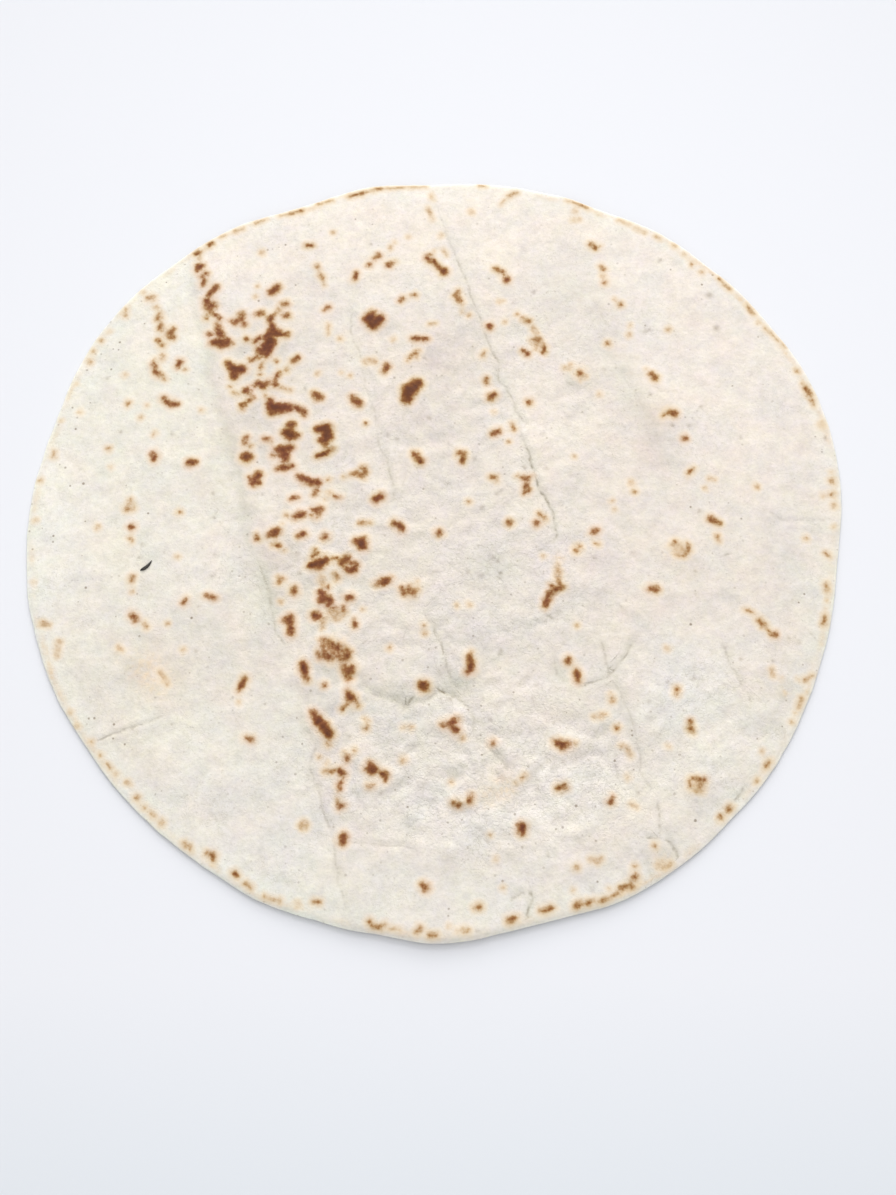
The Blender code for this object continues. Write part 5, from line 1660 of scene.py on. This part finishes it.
@dataclass
class Flatbread:
    """The bread's skin: upper face, rounded edge and underside, closed, and its finish."""

    outline: RoundOutline = RoundOutline()
    # cells along each side of the upper face's grid, an even number: the underside has half as many
    cells: int = 268
    # how far inside the outermost edge the upper face and the underside end
    edge_reach_above: float = 2.6
    edge_reach_below: float = 0.8
    # angles of the edge's rows of points above its outermost line
    edge_section_deg: tuple[float, ...] = (72.0, 54.0, 36.0, 18.0, 0.0, -24.0, -52.0)
    # the edge's fine wobble
    edge_wobble: float = 0.22
    wobble_grains: tuple[Grain, ...] = ((14.0, 1.0, 71, 10.0), (5.0, 0.6, 72, 40.0))
    # the edge's rows start to take its side's painted light below this angle, and take all of it after this
    # turn
    side_from_deg: float = 55.0
    side_span_deg: float = 40.0

    @staticmethod
    def disc_grid(cells: int) -> tuple[Array, Array]:
        """A square grid folded onto the unit disc, as its distances from the middle and its angles.

        The larger of a place's two grid coordinates is its distance from the middle, and their ratio
        is its turn within that quarter, so that every cell keeps the same area.

        Args:
            cells: Cells along each side of the square.

        Returns:
            Distance from 0 to 1 and angle in radians, each a square array.
        """
        a, b = np.meshgrid(np.linspace(-1, 1, cells + 1), np.linspace(-1, 1, cells + 1), indexing="ij")
        wide = abs(a) >= abs(b)
        safe_a, safe_b = np.where(a == 0, 1.0, a), np.where(b == 0, 1.0, b)
        signed = np.where(wide, a, b)
        turn = np.where(wide, 0.25 * math.pi * b / safe_a, 0.5 * math.pi - 0.25 * math.pi * a / safe_b)
        x, y = signed * np.cos(turn), signed * np.sin(turn)
        return np.hypot(x, y), np.arctan2(y, x)

    @staticmethod
    def grid_triangles(cells: int) -> Array:
        """The square grid's triangles, anticlockwise, cut along the line towards the nearest corner.

        Args:
            cells: Cells along each side of the square.

        Returns:
            One row of three point numbers for each triangle.
        """
        number = np.arange((cells + 1) ** 2).reshape(cells + 1, cells + 1)
        a, b, c, d = number[:-1, :-1], number[1:, :-1], number[1:, 1:], number[:-1, 1:]
        first_half = np.arange(cells) < cells // 2
        same = (first_half[:, None] == first_half[None, :])[..., None]
        one = np.where(same, np.stack([a, b, c], -1), np.stack([a, b, d], -1))
        two = np.where(same, np.stack([a, c, d], -1), np.stack([b, c, d], -1))
        return np.concatenate([one.reshape(-1, 3), two.reshape(-1, 3)])

    @staticmethod
    def rim_numbers(cells: int) -> Array:
        """Numbers of the grid's outer points, anticlockwise from its first corner."""
        number = np.arange((cells + 1) ** 2).reshape(cells + 1, cells + 1)
        return np.concatenate([number[:-1, 0], number[-1, :-1], number[:0:-1, -1], number[0, :0:-1]])

    @staticmethod
    def joining_row(fine: Array, coarse: Array) -> Array:
        """Triangles between a loop of points and a loop below it of half as many points.

        Args:
            fine: Numbers of the upper loop's points.
            coarse: Numbers of the lower loop's points.

        Returns:
            One row of three point numbers for each triangle.
        """
        left, middle, right = fine[0::2], fine[1::2], np.roll(fine[0::2], -1)
        below, next_below = coarse, np.roll(coarse, -1)
        parts = ((left, below, middle), (middle, below, next_below), (middle, next_below, right))
        return np.concatenate([np.stack(part, -1) for part in parts])

    def triangles(self) -> Array:
        """The whole skin's triangles: upper face, edge and underside, anticlockwise from outside.

        Returns:
            One row of three point numbers for each triangle.
        """
        rim, half, rows = self.rim_numbers(self.cells), self.cells // 2, len(self.edge_section_deg)
        first_row = (self.cells + 1) ** 2
        first_under = first_row + rows * len(rim)
        loops = [rim, *(first_row + row * len(rim) + np.arange(len(rim)) for row in range(rows))]
        sheets = [self.grid_triangles(self.cells)]
        for above, below in zip(loops[:-1], loops[1:]):
            next_above, next_below = np.roll(above, -1), np.roll(below, -1)
            sheets.append(np.stack([above, below, next_below], -1))
            sheets.append(np.stack([above, next_below, next_above], -1))
        sheets.append(self.joining_row(loops[-1], first_under + self.rim_numbers(half)))
        sheets.append(first_under + self.grid_triangles(half)[:, ::-1])
        return np.concatenate(sheets)

    def ragged_radius(self, angle: Array) -> Array:
        """The outline with a fine hand-made wobble."""
        x, y = self.outline.mean_radius * np.cos(angle), self.outline.mean_radius * np.sin(angle)
        return self.outline.radius(angle) + self.edge_wobble * layered_noise(x, y, self.wobble_grains)

    def face_places(self, cells: int, reach: float) -> tuple[Array, Array]:
        """The places of a face's points: the folded grid, out to a reach inside the ragged outline.

        Args:
            cells: Cells along each side of the grid.
            reach: How far inside the outermost edge the face ends.

        Returns:
            The places along X and along Y.
        """
        share, angle = self.disc_grid(cells)
        radius = share * (self.ragged_radius(angle) - reach)
        return (radius * np.cos(angle)).ravel(), (radius * np.sin(angle)).ravel()

    def edge_points(self, rim: Array, under: Array) -> Array:
        """The rounded edge's points, row by row: half an oval, blunter above than below.

        Args:
            rim: The upper face's outer points.
            under: Height of the underside below each of them.

        Returns:
            One row (x, y, z) for each point.
        """
        angle = np.arctan2(rim[:, 1], rim[:, 0])
        outermost = self.ragged_radius(angle)
        middle, half_height = 0.5 * (rim[:, 2] + under), 0.5 * (rim[:, 2] - under)
        rows = []
        for section in np.radians(self.edge_section_deg):
            reach = self.edge_reach_above if section > 0.0 else self.edge_reach_below
            radius = outermost - reach * (1.0 - math.cos(section))
            height = middle + half_height * math.sin(section)
            rows.append(np.stack([radius * np.cos(angle), radius * np.sin(angle), height], -1))
        return np.concatenate(rows)

    def build(self) -> bpy.types.Object:
        """Builds the skin with its marks and dresses it.

        Returns:
            The piece.
        """
        relief = DoughRelief(self.outline)
        x, y = self.face_places(self.cells, self.edge_reach_above)
        rise, traits = relief.upper(x, y)
        upper = np.stack([x, y, relief.lift(x, y) + relief.local_thickness(x, y) + rise], -1)
        rim = upper[self.rim_numbers(self.cells)]
        edge = self.edge_points(rim, relief.lift(rim[:, 0], rim[:, 1]))
        x, y = self.face_places(self.cells // 2, self.edge_reach_below)
        under = np.stack([x, y, relief.lift(x, y)], -1)
        points = np.concatenate([upper, edge, under])
        piece = mesh_piece("flatbread_skin", points, self.triangles(), DoughFinish().make())
        for name, values in self.marks(relief, (upper, edge, under), traits).items():
            put_on_points(piece, name, values)
        log.info("flatbread skin: %d points, %d triangles, puffed share %.2f",
                 len(piece.data.vertices), len(piece.data.polygons), float(traits["puffed"].mean()))
        return piece

    def marks(
        self, relief: DoughRelief, parts: tuple[Array, Array, Array], traits: dict[str, Array]
    ) -> dict[str, Array]:
        """What the finish reads on the skin's points: scorch, toast, tones with painted light and shade,
        specks and creases.

        Args:
            relief: The dough's heights.
            parts: The points of the upper face, the edge and the underside.
            traits: What the relief says of the upper face's points, by name.

        Returns:
            By name, one number or one row of red, green and blue for each point.
        """
        pattern, tones = ScorchPattern(), BreadTones(self.outline)
        upper, edge, under = parts
        seen_x, seen_y, height = np.concatenate([upper, edge]).T
        seen = pattern.upper(seen_x, seen_y - pattern.lean * (relief.thickness - height))
        beneath = pattern.under(under[:, 0], under[:, 1])
        scorch, bake = (np.concatenate(pair) for pair in zip(seen, beneath))
        x, y = np.concatenate(parts)[:, :2].T
        near_edge, bare = tones.near_edge(x, y), np.zeros(len(edge) + len(under))
        # how far each of the edge's rows takes the painted light of the side
        row_shares = smooth_step((self.side_from_deg - np.array(self.edge_section_deg)) / self.side_span_deg)
        side = np.repeat(row_shares, len(edge) // len(row_shares))
        side = np.concatenate([np.zeros(len(upper)), side, np.zeros(len(under))])
        return {
            "scorch": scorch - tones.edge_fainter * near_edge,
            "bake": bake - tones.edge_fainter * near_edge,
            "near_edge": near_edge,
            "crease": np.concatenate([traits["crease"], bare]),
            "crease_side": np.concatenate([traits["crease_side"], bare + relief.crease_reach]),
            "lap_shade": np.concatenate([traits["lap_shade"], bare]),
            "crumpled": np.concatenate([traits["crumpled"], bare]),
            "speck": np.concatenate([pattern.specks(upper[:, 0], upper[:, 1]), bare]),
            "toast": tones.toast(x, y),
            "grey": tones.patches(x, y, tones.grey),
            "gold": tones.patches(x, y, tones.gold),
            "tone_and_painted_light": tones.tone_and_painted_light(x, y, side),
        }


@dataclass
class BurntSliver:
    """The curved sliver of burnt flour that lies on the left of the upper face."""

    bread: DoughRelief
    # x, y and radius along its middle line
    spine: tuple[Triple, ...] = (
        (-107.6, -16.4, 0.12), (-107.0, -16.1, 0.5), (-106.0, -15.6, 0.62), (-104.8, -14.5, 0.55),
        (-104.0, -13.2, 0.32), (-103.6, -12.4, 0.08),
    )
    stations: int = 40
    sides: int = 14
    # stations over which the spine is evened out
    softening: int = 5
    # height of its middle above the dough in radii, how far it arches, and its height over its width
    middle_height: float = 0.35
    arch: float = 0.10
    flatness: float = 0.8

    def middle_line(self) -> tuple[Array, Array, Array, Array]:
        """The smoothed spine, laid on the dough.

        Returns:
            The places along X, Y and Z, and the radius at each.
        """
        knots = np.asarray(self.spine, float)
        place = np.linspace(0.0, len(knots) - 1.0, self.stations)
        x, y, radius = (np.interp(place, np.arange(len(knots)), column) for column in knots.T)
        soft = np.ones(self.softening) / self.softening
        inner = slice(self.softening // 2, -(self.softening // 2))
        x[inner], y[inner], radius[inner] = (np.convolve(value, soft, "valid") for value in (x, y, radius))
        ground = self.bread.lift(x, y) + self.bread.local_thickness(x, y) + self.bread.upper(x, y)[0]
        arch = self.arch * np.sin(np.linspace(0.0, math.pi, self.stations))
        return x, y, ground + self.middle_height * radius + arch, radius

    def triangles(self) -> Array:
        """The walls between its rings, and a fan to the point at each end.

        Returns:
            One row of three point numbers for each triangle.
        """
        number = np.arange(self.stations * self.sides).reshape(self.stations, self.sides)
        onward = np.roll(number, -1, 1)
        a, b, c, d = number[:-1], onward[:-1], onward[1:], number[1:]
        first, last = np.full(self.sides, number.size), np.full(self.sides, number.size + 1)
        parts = ((a, b, c), (a, c, d), (first, onward[0], number[0]), (last, number[-1], onward[-1]))
        return np.concatenate([np.stack(part, -1).reshape(-1, 3) for part in parts])

    def build(self) -> bpy.types.Object:
        """A flattened round section carried along the spine, closed by a point at each end.

        Returns:
            The piece.
        """
        x, y, z, radius = self.middle_line()
        along = np.stack([np.gradient(x), np.gradient(y)], -1)
        along /= np.linalg.norm(along, axis=1, keepdims=True)
        turn = np.linspace(0.0, 2.0 * math.pi, self.sides, endpoint=False)
        across = radius[:, None] * np.cos(turn)
        rise = self.flatness * radius[:, None] * np.sin(turn)
        ring_x, ring_y = x[:, None] - across * along[:, 1:], y[:, None] + across * along[:, :1]
        rings = np.stack([ring_x, ring_y, z[:, None] + rise], -1).reshape(-1, 3)
        tips = np.stack([x, y, z], -1)[[0, -1]]
        points = np.concatenate([rings, tips])
        piece = mesh_piece("burnt_sliver", points, self.triangles(), BurntFlourFinish().make())
        log.info("burnt sliver: %d triangles", len(piece.data.polygons))
        return piece


@dataclass(frozen=True)
class Studio:
    """The pale table, the soft lights from the far side and above, and the camera."""

    # half the table's side in metres, and how far below the bread it lies in millimetres
    table_half_side: float = 4.0
    table_gap: float = 0.05
    # where the camera stands and what it looks at, in millimetres
    eye_distance: float = 550.0
    eye_elevation_deg: float = 70.0
    aim: tuple[float, float] = (4.3, -25.9)
    lens: float = 45.65
    sky: Colour = (0.93, 0.96, 1.0)
    sky_strength: float = 0.50
    # place in metres, size in metres, power in watts
    lights: tuple[tuple, ...] = (
        ("far_light", (0.0, 9.5, 6.2), (12.0, 8.0), 945.0),
        ("low_light", (0.0, 11.0, 3.2), (17.0, 4.0), 540.0),
        ("top_light", (0.02, 0.08, 0.52), (0.5, 0.5), 1.0),
        ("near_light", (0.0, -4.5, 2.2), (4.0, 3.0), 68.0),
    )

    def build(self) -> None:
        """Sets up the table, lights and camera."""
        self.build_table()
        self.build_lights()
        self.build_camera()

    def build_table(self) -> None:
        """A flat square, a hair below the bread, so that the two faces don't share a plane."""
        side, low = self.table_half_side / MM, -self.table_gap
        points = np.array([(-side, -side, low), (side, -side, low), (side, side, low), (-side, side, low)])
        table = mesh_piece("table", points, np.array([(0, 1, 2), (0, 2, 3)]), TableFinish().make())
        log.info("table: %.1f m wide", 2.0 * self.table_half_side)

    def build_lights(self) -> None:
        """A pale even sky and large soft lamps."""
        world = bpy.data.worlds.new("studio_sky")
        world.use_nodes = True
        background = world.node_tree.nodes["Background"]
        background.inputs["Color"].default_value = (*self.sky, 1.0)
        background.inputs["Strength"].default_value = self.sky_strength
        bpy.context.scene.world = world
        for name, place, size, power in self.lights:
            lamp = bpy.data.lights.new(name, "AREA")
            lamp.shape = "RECTANGLE"
            lamp.size, lamp.size_y = size
            lamp.energy = power
            light = bpy.data.objects.new(name, lamp)
            light.location = place
            light.rotation_euler = (-Vector(place)).to_track_quat("-Z", "Y").to_euler()
            bpy.context.scene.collection.objects.link(light)
        bpy.context.scene.view_settings.view_transform = "Standard"
        log.info("lights: %d lamps and the sky", len(self.lights))

    def build_camera(self) -> None:
        """The camera looks down at the bread from the front."""
        rise = math.radians(self.eye_elevation_deg)
        away = self.eye_distance * MM
        camera = bpy.data.cameras.new("camera")
        camera.lens = self.lens
        eye = bpy.data.objects.new("camera", camera)
        aim = Vector((self.aim[0] * MM, self.aim[1] * MM, 0.0))
        eye.location = aim + away * Vector((0.0, -math.cos(rise), math.sin(rise)))
        eye.rotation_euler = (aim - eye.location).to_track_quat("-Z", "Y").to_euler()
        bpy.context.scene.collection.objects.link(eye)
        bpy.context.scene.camera = eye


def main() -> None:
    """Builds the bread, its sliver and the studio in order."""
    logging.basicConfig(level=logging.INFO, format="%(name)s: %(message)s")
    bread = Flatbread()
    skin = bread.build()
    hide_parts("flatbread")
    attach(skin, "root")
    sliver = BurntSliver(DoughRelief(bread.outline)).build()
    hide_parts("flatbread")
    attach(sliver, "root")
    Studio().build()


if __name__ == "__main__":
    main()
